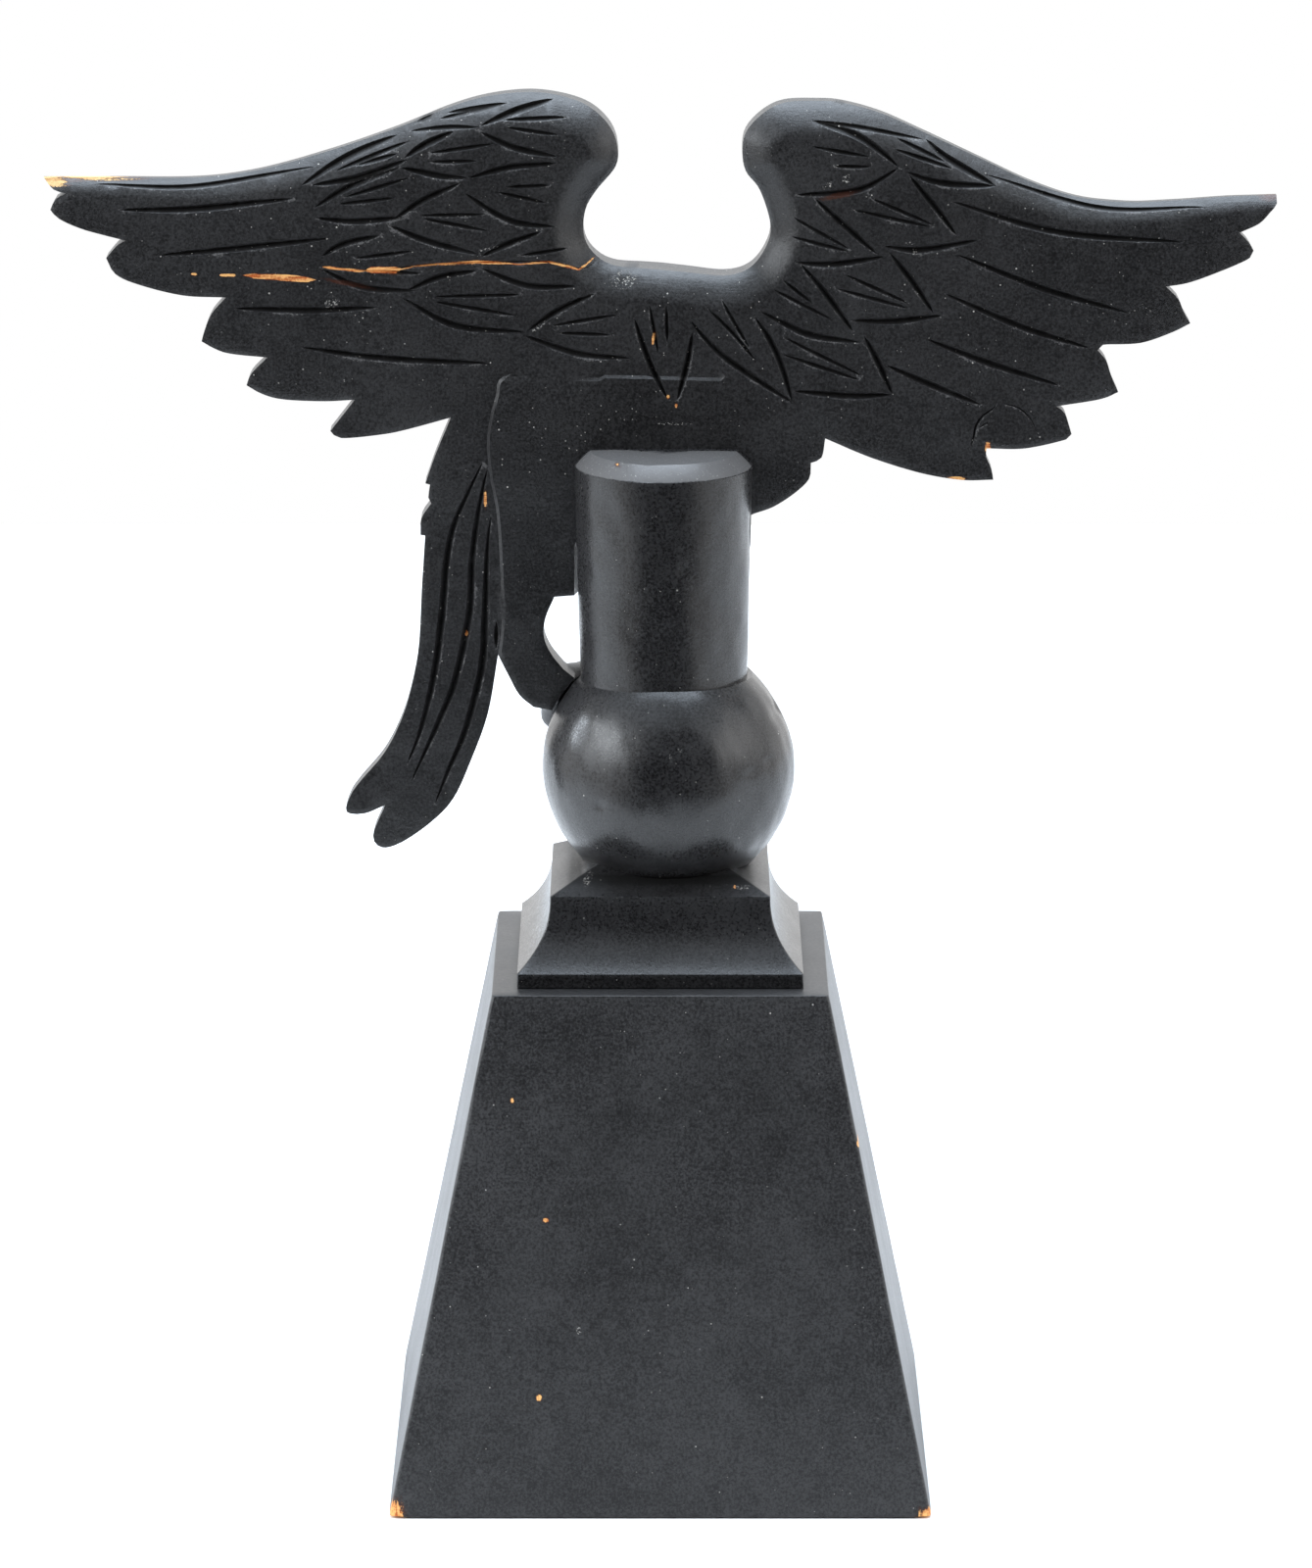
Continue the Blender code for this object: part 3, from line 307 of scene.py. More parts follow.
@dataclass(frozen=True)
class BlackPaint:
    """Thin satin black paint over wood, with dust, chips, and spots of bare wood and of pale filler.

    Each row of spots is x, y, z, three half sizes and a tilt, as for Surface.spot.
    """

    name: str
    grain: tuple[float, float, float] = (1.0, 1.0, 0.12)
    grain_depth: float = 0.00018
    roughness: float = 0.40
    dust: float = 0.16
    chips: float = 0.006
    wood_spots: tuple = NOWHERE
    straw_spots: tuple = NOWHERE
    stain_spots: tuple = NOWHERE
    pale_spots: tuple = NOWHERE
    crack: tuple = ()
    paint: Colour = (0.0062, 0.0060, 0.0064, 1.0)
    faded: Colour = (0.0290, 0.0285, 0.0298, 1.0)
    # grey of paint wear, also used as a painted highlight on the post's top chamfer and the flat's upper
    # edge
    rubbed_and_highlight: Colour = (0.135, 0.132, 0.132, 1.0)
    wood: Colour = (0.46, 0.085, 0.006, 1.0)
    pale_wood: Colour = (0.94, 0.50, 0.17, 1.0)
    straw: Colour = (0.34, 0.155, 0.035, 1.0)
    pale_straw: Colour = (0.68, 0.45, 0.20, 1.0)
    stain: Colour = (0.055, 0.014, 0.005, 1.0)
    dust_colour: Colour = (0.58, 0.56, 0.52, 1.0)
    # near black, painted into the cuts and the groove under the ball as shade
    cut_shade_colour: Colour = (0.0018, 0.0015, 0.0015, 1.0)

    def build(self) -> bpy.types.Material:
        """Builds the node tree: paint, painted shade in the cuts, paint wear with some painted highlight,
        stain, bare wood, filler and dust, in that order.
        """
        g = Surface(self.name)
        grain = g.noise(900.0, 4.0, 0.65, self.grain)
        broad = g.noise(34.0, 4.0, 0.6)
        cloud = g.noise(150.0, 3.0, 0.6)
        fine = g.noise(1350.0, 3.0, 0.75)
        crumb = g.noise(1500.0, 4.0, 0.7)
        ragged = g.noise(900.0, 5.0, 0.68, self.grain)
        tone = g.blend((broad * 0.35 + cloud * 0.25 + fine * 1.5).step(0.78, 1.32), self.paint, self.faded)
        cut = g.mark(Mark.CUT)
        # Painted shade: the cuts and the groove under the ball are darkened to near black.
        tone = g.blend((cut + (crumb - 0.5) * 0.5).step(0.12, 0.60), tone, self.cut_shade_colour)
        # Paint wear, which also paints a highlight on the post's top chamfer and along the flat's upper
        # edge.
        rub_and_highlight = (g.mark(Mark.WEAR_AND_HIGHLIGHT) + (ragged - 0.5) * 0.9).step(0.40, 0.85)
        rim = (g.mark(Mark.RIM) + (crumb - 0.5) * 2.2 + (cloud - 0.5) * 1.6).step(0.92, 1.30)
        tone = g.blend((rub_and_highlight * 0.85).top(rim * 0.80), tone, self.rubbed_and_highlight)
        stain = g.spots(self.stain_spots) + (crumb - 0.5) * 1.4
        tone = g.blend(stain.step(-0.10, 0.50) * 0.85, tone, self.stain)
        bare = (g.mark(Mark.BARE) + (ragged - 0.5) * 0.5).step(0.46, 0.54)
        bare = bare.top(g.specks(95.0, 0.060, self.chips))
        for spots, deep, light in ((self.wood_spots, self.wood, self.pale_wood),
                                   (self.straw_spots, self.straw, self.pale_straw)):
            near = g.spots(spots)
            if self.crack and spots is self.wood_spots:
                near = near.top(g.strip(self.crack))
            near = near + (ragged - 0.5) * 2.0 + (crumb - 0.5) * 0.8
            here = near.step(0.02, 0.14)
            if spots is self.wood_spots:
                here = here.top(bare)
            tone = g.blend(near.step(-0.45, 0.0) * 0.75, tone, self.stain)
            tone = g.blend(here, tone, g.blend((grain * 0.7 + fine * 0.3).step(0.40, 0.58), deep, light))
            bare = bare.top(here)
        filler = (g.mark(Mark.FILLER) + (crumb - 0.5) * 1.1).step(0.55, 0.70)
        filler = filler.top(g.spots(self.pale_spots).step(0.0, 0.45) * crumb.step(0.55, 0.62))
        tone = g.blend(filler * 0.85, tone, self.dust_colour)
        patches = g.noise(26.0, 3.0).step(0.38, 0.66).top(g.mark(Mark.RIM).step(0.02, 0.30))
        dust = g.specks(420.0, 0.12, self.dust).top(g.specks(900.0, 0.18, 0.7 * self.dust)) * patches
        tone = g.blend(dust * 0.85, tone, self.dust_colour)
        rough = self.roughness + (broad - 0.5) * 0.16 + (grain - 0.5) * 0.14 + (fine - 0.5) * 0.35
        rough = rough + bare * 0.35 + cut * 0.45 + dust * 0.2 + rub_and_highlight * 0.10
        relief = grain * 0.4 + fine * 0.55 + cloud * 0.6 - bare * 0.9 + filler * 0.5
        return g.finish(Base_Color=tone, Roughness=rough, Normal=g.bump(relief, self.grain_depth))


# Curves and meshes

Points = np.ndarray


def smooth_between(before: Points, start: Points, end: Points, after: Points, count: int) -> Points:
    """Points from start up to end, on the smooth curve that also passes its two neighbours.

    The curve is the uniform cubic through four points: half of 2b + (c-a)t + (2a-5b+4c-d)t^2
    + (3b-a-3c+d)t^3, for t from 0 to 1.
    """
    t = (np.arange(count) / count)[:, None]
    return 0.5 * (2 * start + (end - before) * t
                  + (2 * before - 5 * start + 4 * end - after) * t ** 2
                  + (3 * start - before - 3 * end + after) * t ** 3)


def in_fours(p: Points) -> zip:
    """Each two neighbours with the points before and after them, mirrored past the two ends."""
    ghost = np.vstack([2 * p[0] - p[1], p, 2 * p[-1] - p[-2]])
    return zip(ghost, ghost[1:], ghost[2:], ghost[3:])


def smooth_run(control: list, step: float) -> Points:
    """A smooth curve through control points, with points about one step apart."""
    p = np.asarray(control, dtype=float)
    counts = np.maximum(1, np.round(np.hypot(*np.diff(p, axis=0).T) / step)).astype(int)
    if len(p) == 2:
        return p[0] + (p[1] - p[0]) * np.linspace(0, 1, counts[0] + 1)[:, None]
    curve = [smooth_between(*four, count) for four, count in zip(in_fours(p), counts)]
    return np.vstack(curve + [p[-1:]])


def smooth_spans(stations: list, spans: int) -> Points:
    """Stations made finer along a smooth curve, with a number of spans between each two."""
    p = np.asarray(stations, dtype=float)
    return np.vstack([smooth_between(*four, spans) for four in in_fours(p)] + [p[-1:]])


def chained(start: tuple, rows: list) -> list[list]:
    """Runs of points, each of which begins where the one before ends."""
    return [[first, *row] for first, row in zip([start] + [row[-1] for row in rows], rows)]


def path_distance(points: Points, path: Points) -> tuple[Points, Points]:
    """Distance from each point to a polyline, and the share of the line at its nearest point."""
    start, span = path[:-1], path[1:] - path[:-1]
    length = np.hypot(span[:, 0], span[:, 1])
    offset = points[:, None, :] - start[None]
    t = np.clip((offset * span).sum(2) / (length ** 2), 0, 1)
    gap = offset - t[..., None] * span
    distance = np.hypot(gap[..., 0], gap[..., 1])
    nearest = distance.argmin(1)
    rows = np.arange(len(points))
    travelled = np.concatenate([[0], np.cumsum(length)])
    along = (travelled[nearest] + t[rows, nearest] * length[nearest]) / travelled[-1]
    return distance[rows, nearest], along


def side_of(path: Points) -> Points:
    """Unit normals to the left of a polyline."""
    direction = np.gradient(path, axis=0)
    normal = np.column_stack([-direction[:, 1], direction[:, 0]])
    return normal / np.hypot(normal[:, 0], normal[:, 1])[:, None]


def mix(low: float, high: float, share: Points) -> Points:
    """From low at share 0 to high at share 1."""
    return low + (high - low) * share


def band(distance: Points, reach: float) -> Points:
    """1 where a distance is 0, falling off as an exponential over a reach."""
    return np.exp(-np.abs(distance) / reach)


def ease(value: Points) -> Points:
    """A smooth step from 0 to 1."""
    t = np.clip(value, 0, 1)
    return t * t * (3 - 2 * t)


def ripple(points: Points, wave: float, seed: int, waves: int = 14) -> Points:
    """Gentle unevenness from -1 to 1: a sum of cosines of random directions, about one wavelength."""
    random = np.random.default_rng(seed)
    aim = unit_rows(random.normal(size=(waves, points.shape[1])))
    aim *= 2 * np.pi / wave * random.uniform(0.6, 1.5, (waves, 1))
    turn = random.uniform(0, 2 * np.pi, waves)
    return np.cos(points @ aim.T + turn).sum(1) / np.sqrt(waves) / 1.6


def ring_faces(rings: int, sides: int) -> list[list[int]]:
    """Quads between closed rings of points, with a cap on the first ring and on the last."""
    low = np.arange(rings - 1)[:, None] * sides
    side = np.arange(sides)[None]
    turn = (side + 1) % sides
    quads = np.stack([low + side, low + turn, low + sides + turn, low + sides + side], axis=-1)
    faces = quads.reshape(-1, 4).tolist()
    return [list(range(sides))[::-1]] + faces + [list(range((rings - 1) * sides, rings * sides))]


def unit_rows(vectors: Points) -> Points:
    """Vectors scaled to a length of 1."""
    return vectors / np.linalg.norm(vectors, axis=1)[:, None]


def add_object(name: str, points: Points, faces: list) -> bpy.types.Object:
    """Links a mesh object made from points in metres."""
    mesh = bpy.data.meshes.new(name)
    mesh.from_pydata(np.asarray(points, dtype=float).tolist(), [], faces)
    mesh.update()
    item = bpy.data.objects.new(name, mesh)
    bpy.context.scene.collection.objects.link(item)
    return item


def add_rings(name: str, rings: Points) -> bpy.types.Object:
    """Links a closed solid made from rings of points: rings by sides by 3."""
    return add_object(name, rings.reshape(-1, 3), ring_faces(*rings.shape[:2]))


def at_levels(flat: Points, levels: Points) -> Points:
    """Flat rings (x, y) lifted to their heights."""
    return np.concatenate([flat, np.broadcast_to(levels[:, None, None], flat.shape[:2] + (1,))], axis=2)


def carve_together(base: bpy.types.Object, added: list, removed: list) -> bpy.types.Object:
    """Joins solids to a base and cuts others from it, then keeps only the result.

    Args:
        base: the solid that stays.
        added: solids joined to it.
        removed: solids cut from it.

    Returns:
        The base, with its mesh replaced by the result.
    """
    for operation, tools in (("UNION", added), ("DIFFERENCE", removed)):
        if not tools:
            continue
        group = bpy.data.collections.new(f"{base.name} {operation.lower()}")
        bpy.context.scene.collection.children.link(group)
        for tool in tools:
            bpy.context.scene.collection.objects.unlink(tool)
            group.objects.link(tool)
        step = base.modifiers.new(operation.title(), "BOOLEAN")
        step.solver = "EXACT"
        step.operation = operation
        step.operand_type = "COLLECTION"
        step.collection = group
    bpy.context.view_layer.update()
    view = bpy.context.evaluated_depsgraph_get()
    mesh = bpy.data.meshes.new_from_object(base.evaluated_get(view))
    base.modifiers.clear()
    base.data = mesh
    for tool in added + removed:
        bpy.data.objects.remove(tool, do_unlink=True)
    return base


def mesh_points(item: bpy.types.Object) -> tuple[Points, Points]:
    """Places and normals of an object's points."""
    count = len(item.data.vertices)
    places, normals = np.empty(count * 3), np.empty(count * 3)
    item.data.vertices.foreach_get("co", places)
    item.data.vertex_normals.foreach_get("vector", normals)
    return places.reshape(-1, 3), normals.reshape(-1, 3)


def settle(item: bpy.types.Object, places: Points, marks: dict, crease: float = 28.0) -> None:
    """Writes moved points and marks back to a mesh, inside the CAD box.

    Args:
        item: the piece.
        places: its points.
        marks: Mark to values from 0 to 1.
        crease: angle in degrees over which an edge stays sharp.
    """
    low, high = np.array(CAD_BOX[0]), np.array(CAD_BOX[1])
    item.data.vertices.foreach_set("co", np.clip(places, low, high).ravel())
    for mark, values in marks.items():
        store = item.data.attributes.new(mark.value, "FLOAT", "POINT")
        store.data.foreach_set("value", np.clip(values, 0, 1).astype(np.float32))
    item.data.shade_smooth()
    item.data.set_sharp_from_angle(angle=np.radians(crease))
    item.data.update()


def dress(item: bpy.types.Object, node: str, finish: BlackPaint) -> None:
    """Gives a piece its finish and puts it in place of its CAD node."""
    item.data.materials.clear()
    item.data.materials.append(finish.build())
    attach(item, "root")
    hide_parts(node)
    log.info("%s: %d faces in place of node %s", item.name, len(item.data.polygons), node)


# Pedestal and post

@dataclass
class Pedestal:
    """The tapered square block, with broken edges and knocked lower corners."""

    foot_width: float = 0.1524
    height: float = 0.1438
    top_width: float = 0.0946
    edge: float = 0.0010
    cells: int = 34
    rows: int = 52
    finish: BlackPaint = BlackPaint(
        "Black paint on the pedestal", grain=(1.0, 1.0, 0.06), grain_depth=0.00006,
        roughness=0.42, dust=0.08, chips=0.004,
        paint=(0.0095, 0.0093, 0.0098, 1.0), faded=(0.0430, 0.0425, 0.0440, 1.0),
        wood_spots=(
            (-41.5, -58, 115.0, 0.45, 12, 0.7), (-32.0, -62, 82.0, 0.9, 14, 0.7),
            (-34.0, -70, 33.0, 0.7, 14, 0.8), (56.0, -56, 103.0, 0.8, 12, 1.3),
            (71.0, -68, 44.0, 0.9, 12, 1.6), (-75.5, -75, 1.0, 3.6, 4, 3.6), (75.5, -75, 0.5, 2.6, 4, 2.0)),
        pale_spots=((-22.8, -66, 51.5, 0.9, 14, 1.2), (50.0, -54, 131.0, 0.6, 14, 0.7),
                    (60.5, -60, 91.0, 0.6, 12, 2.2), (2.0, -48, 118.0, 1.5, 9, 0.3)))

    def square(self, half: Points, corner: Points) -> Points:
        """Square rings with rounded corners.

        Each side runs straight to within the corner's radius of its end, then turns a quarter circle
        in four steps. Rings differ by their half width and their corner radius.
        """
        straight = np.linspace(-1, 1, self.cells + 1)
        turns = np.radians(np.linspace(0, 90, 5))[1:-1]
        rings = []
        for quarter in range(4):
            run = (half - corner)[:, None] * straight[None]
            edge_x, edge_y = run, np.repeat(-half[:, None], run.shape[1], axis=1)
            turn_x = (half - corner)[:, None] + corner[:, None] * np.sin(turns)[None]
            turn_y = -(half - corner)[:, None] - corner[:, None] * np.cos(turns)[None]
            x, y = np.hstack([edge_x, turn_x]), np.hstack([edge_y, turn_y])
            for _ in range(quarter):
                x, y = -y, x
            rings.append(np.stack([x, y], axis=-1))
        return np.concatenate(rings, axis=1)

    def build(self) -> bpy.types.Object:
        """Builds and dresses the block."""
        share = np.linspace(0, 1, self.rows)
        level = self.height * share
        half = (self.foot_width + (self.top_width - self.foot_width) * share) / 2
        corner = self.edge * (1 + 0.25 * ripple(share[:, None], 0.2, 3))
        crown = np.radians(np.array([30.0, 60.0, 90.0]))
        top = self.top_width / 2
        lid = self.height - self.edge * 0.5 * (1 - np.sin(crown))
        cap_half = top - self.edge * 0.5 * (1 - np.cos(crown))
        inner = cap_half[-1] * np.array([0.9, 0.6, 0.3, 0.04])
        halves = np.concatenate([
            (self.foot_width / 2) * np.array([0.03, 0.5, 0.9, 0.985]), half[:-1], cap_half, inner])
        levels = np.concatenate([np.zeros(4), level[:-1], lid, np.full(4, self.height)])
        corners = np.concatenate([np.full(4, self.edge), corner[:-1], np.full(7, self.edge)])
        flat = self.square(halves, np.minimum(corners, halves / 2))
        block = add_rings("pedestal_block", at_levels(flat, levels))
        places, normals = mesh_points(block)
        half_here = np.interp(places[:, 2], [0, self.height], [self.foot_width / 2, self.top_width / 2])
        to_side = half_here[:, None] - np.abs(places[:, :2])
        corner_gap = to_side.max(1)
        foot_gap = places[:, 2] + 0.3 * corner_gap
        arris = np.exp(-corner_gap / 0.0012)
        to_end = np.minimum(places[:, 2], self.height - places[:, 2])
        rim = np.exp(-to_end / 0.0010) * (to_side.min(1) < 0.002)
        wander = ripple(places, 0.02, 5)
        knocked = band(np.hypot(foot_gap, corner_gap), 0.0035) * (places[:, 1] < 0)
        places = places - normals * (0.0004 * knocked + 0.00012 * arris * (1 + wander))[:, None]
        settle(block, places, {
            Mark.BARE: 0.95 * knocked + 0.25 * rim * arris,
            Mark.WEAR_AND_HIGHLIGHT: 0.42 * np.maximum(arris, rim) + 0.08 * wander,
        })
        dress(block, "pedestal", self.finish)
        return block


@dataclass
class Post:
    """Square moulded foot, ball and round post, lapped away behind the eagle."""

    pedestal: Pedestal = field(default_factory=Pedestal)
    foot_width: float = 0.0804
    foot_lip: float = 0.0039
    foot_top_width: float = 0.0620
    foot_height: float = 0.0240
    hollow_power: float = 2.4
    foot_edge: float = 0.0005
    hip_rise: float = 0.0034
    ball_radius: float = 0.0361
    ball_lean: float = 0.0023
    neck_radius: float = 0.0238
    neck_groove: float = 0.0012
    post_lean: float = 0.0009
    post_foot_radius: float = 0.0239
    post_top_radius: float = 0.0251
    post_length: float = 0.0643
    rounding: float = 0.0045
    edge_power: float = 1.8
    shoulder_height: float = 0.0368
    lap: float = 0.0017
    finish: BlackPaint = BlackPaint(
        "Black paint on the post", grain=(1.0, 1.0, 0.10), grain_depth=0.00009, roughness=0.29,
        dust=0.09, chips=0.004,
        wood_spots=((21.0, -22, 170.0, 0.4, 9, 0.4), (19.4, -40, 158.6, 0.9, 4, 0.9),
                    (-12.0, -25, 289.0, 1.0, 9, 0.6)),
        pale_spots=((-20.5, -22, 171.4, 1.3, 9, 2.4, 30), (23.0, -22, 169.8, 4.5, 9, 0.8),
                    (5.5, -34, 211.0, 1.6, 9, 0.5, 35), (3.0, -34, 208.8, 0.4, 9, 1.6, -10)))

    # x, z, radius and depth in millimetres of each knock on the photographed side
    knocks = np.array([
        (-17.0, 194.0, 1.1, 0.7), (4.0, 211.0, 2.2, 0.35), (7.0, 213.5, 1.6, 0.30),
        (33.5, 216.0, 2.4, 0.45), (31.0, 205.0, 1.3, 0.35), (26.0, 203.0, 1.2, 0.3),
        (6.0, 260.0, 1.3, 0.35), (-10.0, 243.0, 1.4, 0.35), (-8.5, 241.0, 1.0, 0.3),
        (20.0, 188.0, 6.0, 0.35), (-18.0, 207.0, 7.0, 0.3), (26.0, 196.0, 5.0, 0.4),
    ])

    def __post_init__(self) -> None:
        """Works out the heights of the stacked parts."""
        self.base = self.pedestal.height + CLEARANCE
        self.neck = self.base + self.foot_height + self.hip_rise
        self.ball_centre = self.neck + np.sqrt(self.ball_radius ** 2 - self.neck_radius ** 2)
        self.post_base = self.ball_centre + np.sqrt(self.ball_radius ** 2 - self.post_foot_radius ** 2)
        self.top = self.post_base + self.post_length
        self.shoulder = self.post_base + self.shoulder_height

    def turned(self, name: str, profile: Points, lean: float, sides: int) -> bpy.types.Object:
        """A solid turned about an upright axis, from (radius, height) rows given upwards."""
        angles = np.arange(sides) * 2 * np.pi / sides
        radius, height = profile[:, :1], profile[:, 1:]
        return add_rings(name, np.stack([
            lean + radius * np.cos(angles), radius * np.sin(angles),
            np.broadcast_to(height, (len(profile), sides))], axis=-1))

    def ball_profile(self, grow: float = 0.0, count: int = 72) -> Points:
        """The groove under the ball, then the ball's arc up to the post."""
        low = -np.arccos(self.neck_radius / self.ball_radius)
        high = np.arccos(self.post_foot_radius / self.ball_radius)
        angles = np.linspace(low, high, count)
        arc = np.column_stack([(self.ball_radius + grow) * np.cos(angles),
                               self.ball_centre + (self.ball_radius + grow) * np.sin(angles)])
        groove = self.neck_radius - self.neck_groove
        sunk = self.base + self.foot_height / 2
        foot = [[groove, sunk], [groove, self.neck - self.neck_groove]]
        return np.vstack([foot, arc])

    def shaft_profile(self) -> Points:
        """The post, barely wider at the top.

        Its upper edge lies between a chamfer and a quarter circle: powers of the sine and the cosine.
        """
        rise = np.linspace(0, 1, 40)[:, None]
        start = np.array([[self.post_foot_radius, self.post_base]])
        end = np.array([[self.post_top_radius, self.top - self.rounding]])
        body = start + (end - start) * rise
        turns = np.radians(np.linspace(0, 90, 12))[1:, None]
        edge = np.hstack([self.post_top_radius - self.rounding * (1 - np.cos(turns) ** self.edge_power),
                          self.top - self.rounding * (1 - np.sin(turns) ** self.edge_power)])
        inner = np.array([[0.7, 1.0], [0.35, 1.0]]) * [edge[-1, 0], self.top]
        root = [[self.post_foot_radius - self.neck_groove, self.ball_centre]]
        return np.vstack([root, body, edge, inner])

    def foot_rings(self, cells: int = 40) -> bpy.types.Object:
        """The square foot: an upright lip, a hollow that steepens upwards, and low hips to the neck."""
        half, top = self.foot_width / 2, self.foot_top_width / 2
        lip, rise = self.base + self.foot_lip, self.foot_height - self.foot_lip
        share = np.linspace(0, 1, 22)
        hollow = np.column_stack([mix(top, half, (1 - share) ** self.hollow_power), lip + rise * share])
        slope = (top - self.neck_radius) / self.hip_rise
        crown = np.linspace(0, 2 * self.hip_rise, 8)[:, None]
        hips = np.hstack([top - slope * crown, self.base + self.foot_height + crown])
        lips = np.array([[half, self.base], [half, self.base + self.foot_lip / 2]])
        levels = np.vstack([lips, hollow, hips])
        corners = np.minimum(self.foot_edge, levels[:, 0] / 4)
        flat = Pedestal(cells=cells).square(levels[:, 0], corners)
        return add_rings("post_and_ball", at_levels(flat, levels[:, 1]))

    def dents(self, places: Points) -> Points:
        """Depth of the knocks under each place, as smooth hollows."""
        depth = np.zeros(len(places))
        for x, z, radius, deep in self.knocks:
            away = np.hypot(places[:, 0] / MM - x, places[:, 2] / MM - z)
            depth += deep * MM * np.exp(-(away / radius) ** 2) * (places[:, 1] < 0)
        return depth

    def build(self) -> bpy.types.Object:
        """Builds and dresses the foot, the ball and the post as one piece."""
        piece = self.foot_rings()
        ball = self.turned("ball", self.ball_profile(), self.ball_lean, 168)
        shaft = self.turned("shaft", self.shaft_profile(), self.post_lean, 132)
        reach = 2 * self.post_top_radius
        corners = np.array([(-1, 0), (1, 0), (1, 2), (-1, 2)]) * reach + [self.post_lean, self.lap]
        lap = add_object("lap", np.vstack([
            np.column_stack([corners, np.full(4, self.shoulder)]),
            np.column_stack([corners, np.full(4, self.top + reach)])]), ring_faces(2, 4))
        carve_together(piece, [ball, shaft], [lap])
        places, normals = mesh_points(piece)
        flat = (places[:, 1] > self.lap - 1e-5) & (places[:, 2] > self.shoulder - 1e-5)
        height = places[:, 2]
        turned_part = ease((height - self.neck) / 0.003)
        uneven = 0.00030 * ripple(places, 0.026, 11) + 0.00010 * ripple(places, 0.009, 12)
        push = (uneven - 0.00026) * turned_part - self.dents(places)
        places = places + normals * np.where(flat, 0.0, push)[:, None]
        rim = ease((height - self.top + self.rounding * 1.05) / 0.0008) * (places[:, 1] < 0)
        joint = band(height - self.post_base, 0.0010)
        seat = band(height - self.neck, 0.0014)
        # painted shade: a dark band on the ball just above the neck
        shade = np.exp(-((height - self.neck - 0.0045) / 0.0020) ** 2)
        half_foot = np.interp(height, [self.base, self.base + self.foot_height],
                              [self.foot_width / 2, self.foot_top_width / 2])
        lip_edge = band(height - self.base - self.foot_lip, 0.0007)
        top_edge = band(height - self.base - self.foot_height, 0.0008)
        hip = band(np.abs(places[:, 0]) - np.abs(places[:, 1]), 0.0009)
        hip = hip * (height < self.neck) * (np.abs(places[:, 0]) > 0.8 * half_foot * 0.9)
        settle(piece, places, {
            # The whole top chamfer on the near side takes the grey of paint wear at 0.95: partly wear,
            # partly a painted highlight where it faces the light above.
            Mark.WEAR_AND_HIGHLIGHT: np.maximum.reduce([
                0.95 * rim, 0.34 * joint, 0.44 * top_edge, 0.30 * lip_edge, 0.34 * hip]),
            Mark.RIM: 0.8 * band(height - self.top + self.rounding, 0.0005) * (places[:, 1] < 0),
            # painted shade in the groove under the ball and in the band above the neck
            Mark.CUT: np.maximum(0.8 * seat * (height < self.neck + 0.001), 0.30 * shade),
            Mark.FILLER: np.maximum(0.30 * seat, 0.44 * rim),
        })
        dress(piece, "post", self.finish)
        return piece


# Eagle

@dataclass
class Cut:
    """A V-shaped cut along a drawn path, tapered to nothing at its ends, in millimetres."""

    path: Points
    width: float
    depth: float
    rim_reach: float = 0.33

    def near(self, points: Points) -> Points:
        """Numbers of the points in the box round the cut."""
        low, high = self.path.min(0) - self.width, self.path.max(0) + self.width
        return np.flatnonzero(((points > low) & (points < high)).all(1))

    def taper(self, along: Points) -> Points:
        """Share of the full size along the cut: the square root of a half sine."""
        return np.sqrt(np.clip(np.sin(np.pi * np.clip(along, 0, 1)), 0, 1))

    def lines(self) -> list[Points]:
        """The bed of the cut and its two rims, which all meet at the ends."""
        count = len(self.path)
        reach = (self.width / 2 * self.taper(np.linspace(0, 1, count)))[:, None]
        normal = side_of(self.path)
        rim, other = self.path + normal * reach, self.path - normal * reach
        rim[[0, -1]] = other[[0, -1]] = self.path[[0, -1]]
        return [self.path, rim, other]

    def lower_rim(self, points: Points) -> Points:
        """1 on the cut's lower rim, falling off over the rim's reach."""
        rim = min(self.lines()[1:], key=lambda line: line[:, 1].mean())
        share, near = np.zeros(len(points)), self.near(points)
        if len(near):
            share[near] = np.exp(-(path_distance(points[near], rim)[0] / self.rim_reach) ** 2)
        return share

    def depth_at(self, points: Points) -> Points:
        """Depth under each point: it falls evenly from each rim to the bed."""
        depth, near = np.zeros(len(points)), self.near(points)
        if len(near):
            distance, along = path_distance(points[near], self.path)
            share = self.taper(along)
            width = np.maximum(self.width / 2 * share, 1e-6)
            depth[near] = self.depth * MM * share * np.clip(1 - distance / width, 0, 1)
        return depth


@dataclass
class Carver:
    """Sizes and the drawing that the carved board and the rounded forms share."""

    post: Post = field(default_factory=Post)
    span: float = 0.3460
    drawn_span: float = 346.0
    drawn_shoulder: float = 262.0

    @property
    def unit(self) -> float:
        """Metres in a drawn millimetre."""
        return self.span / self.drawn_span

    @property
    def pad_back(self) -> float:
        """Depth of the flat that is glued to the post."""
        return self.post.lap + CLEARANCE

    def place(self, points: Points) -> Points:
        """Drawn points (x, z) as metres in the frame."""
        drawn = np.asarray(points, dtype=float)
        return np.column_stack([drawn[:, 0] * self.unit,
                                self.post.shoulder + (drawn[:, 1] - self.drawn_shoulder) * self.unit])

    def unplace(self, points: Points) -> Points:
        """Frame points (x, z) in metres as drawn points."""
        placed = np.asarray(points, dtype=float)
        return np.column_stack([placed[:, 0] / self.unit,
                                (placed[:, 1] - self.post.shoulder) / self.unit + self.drawn_shoulder])


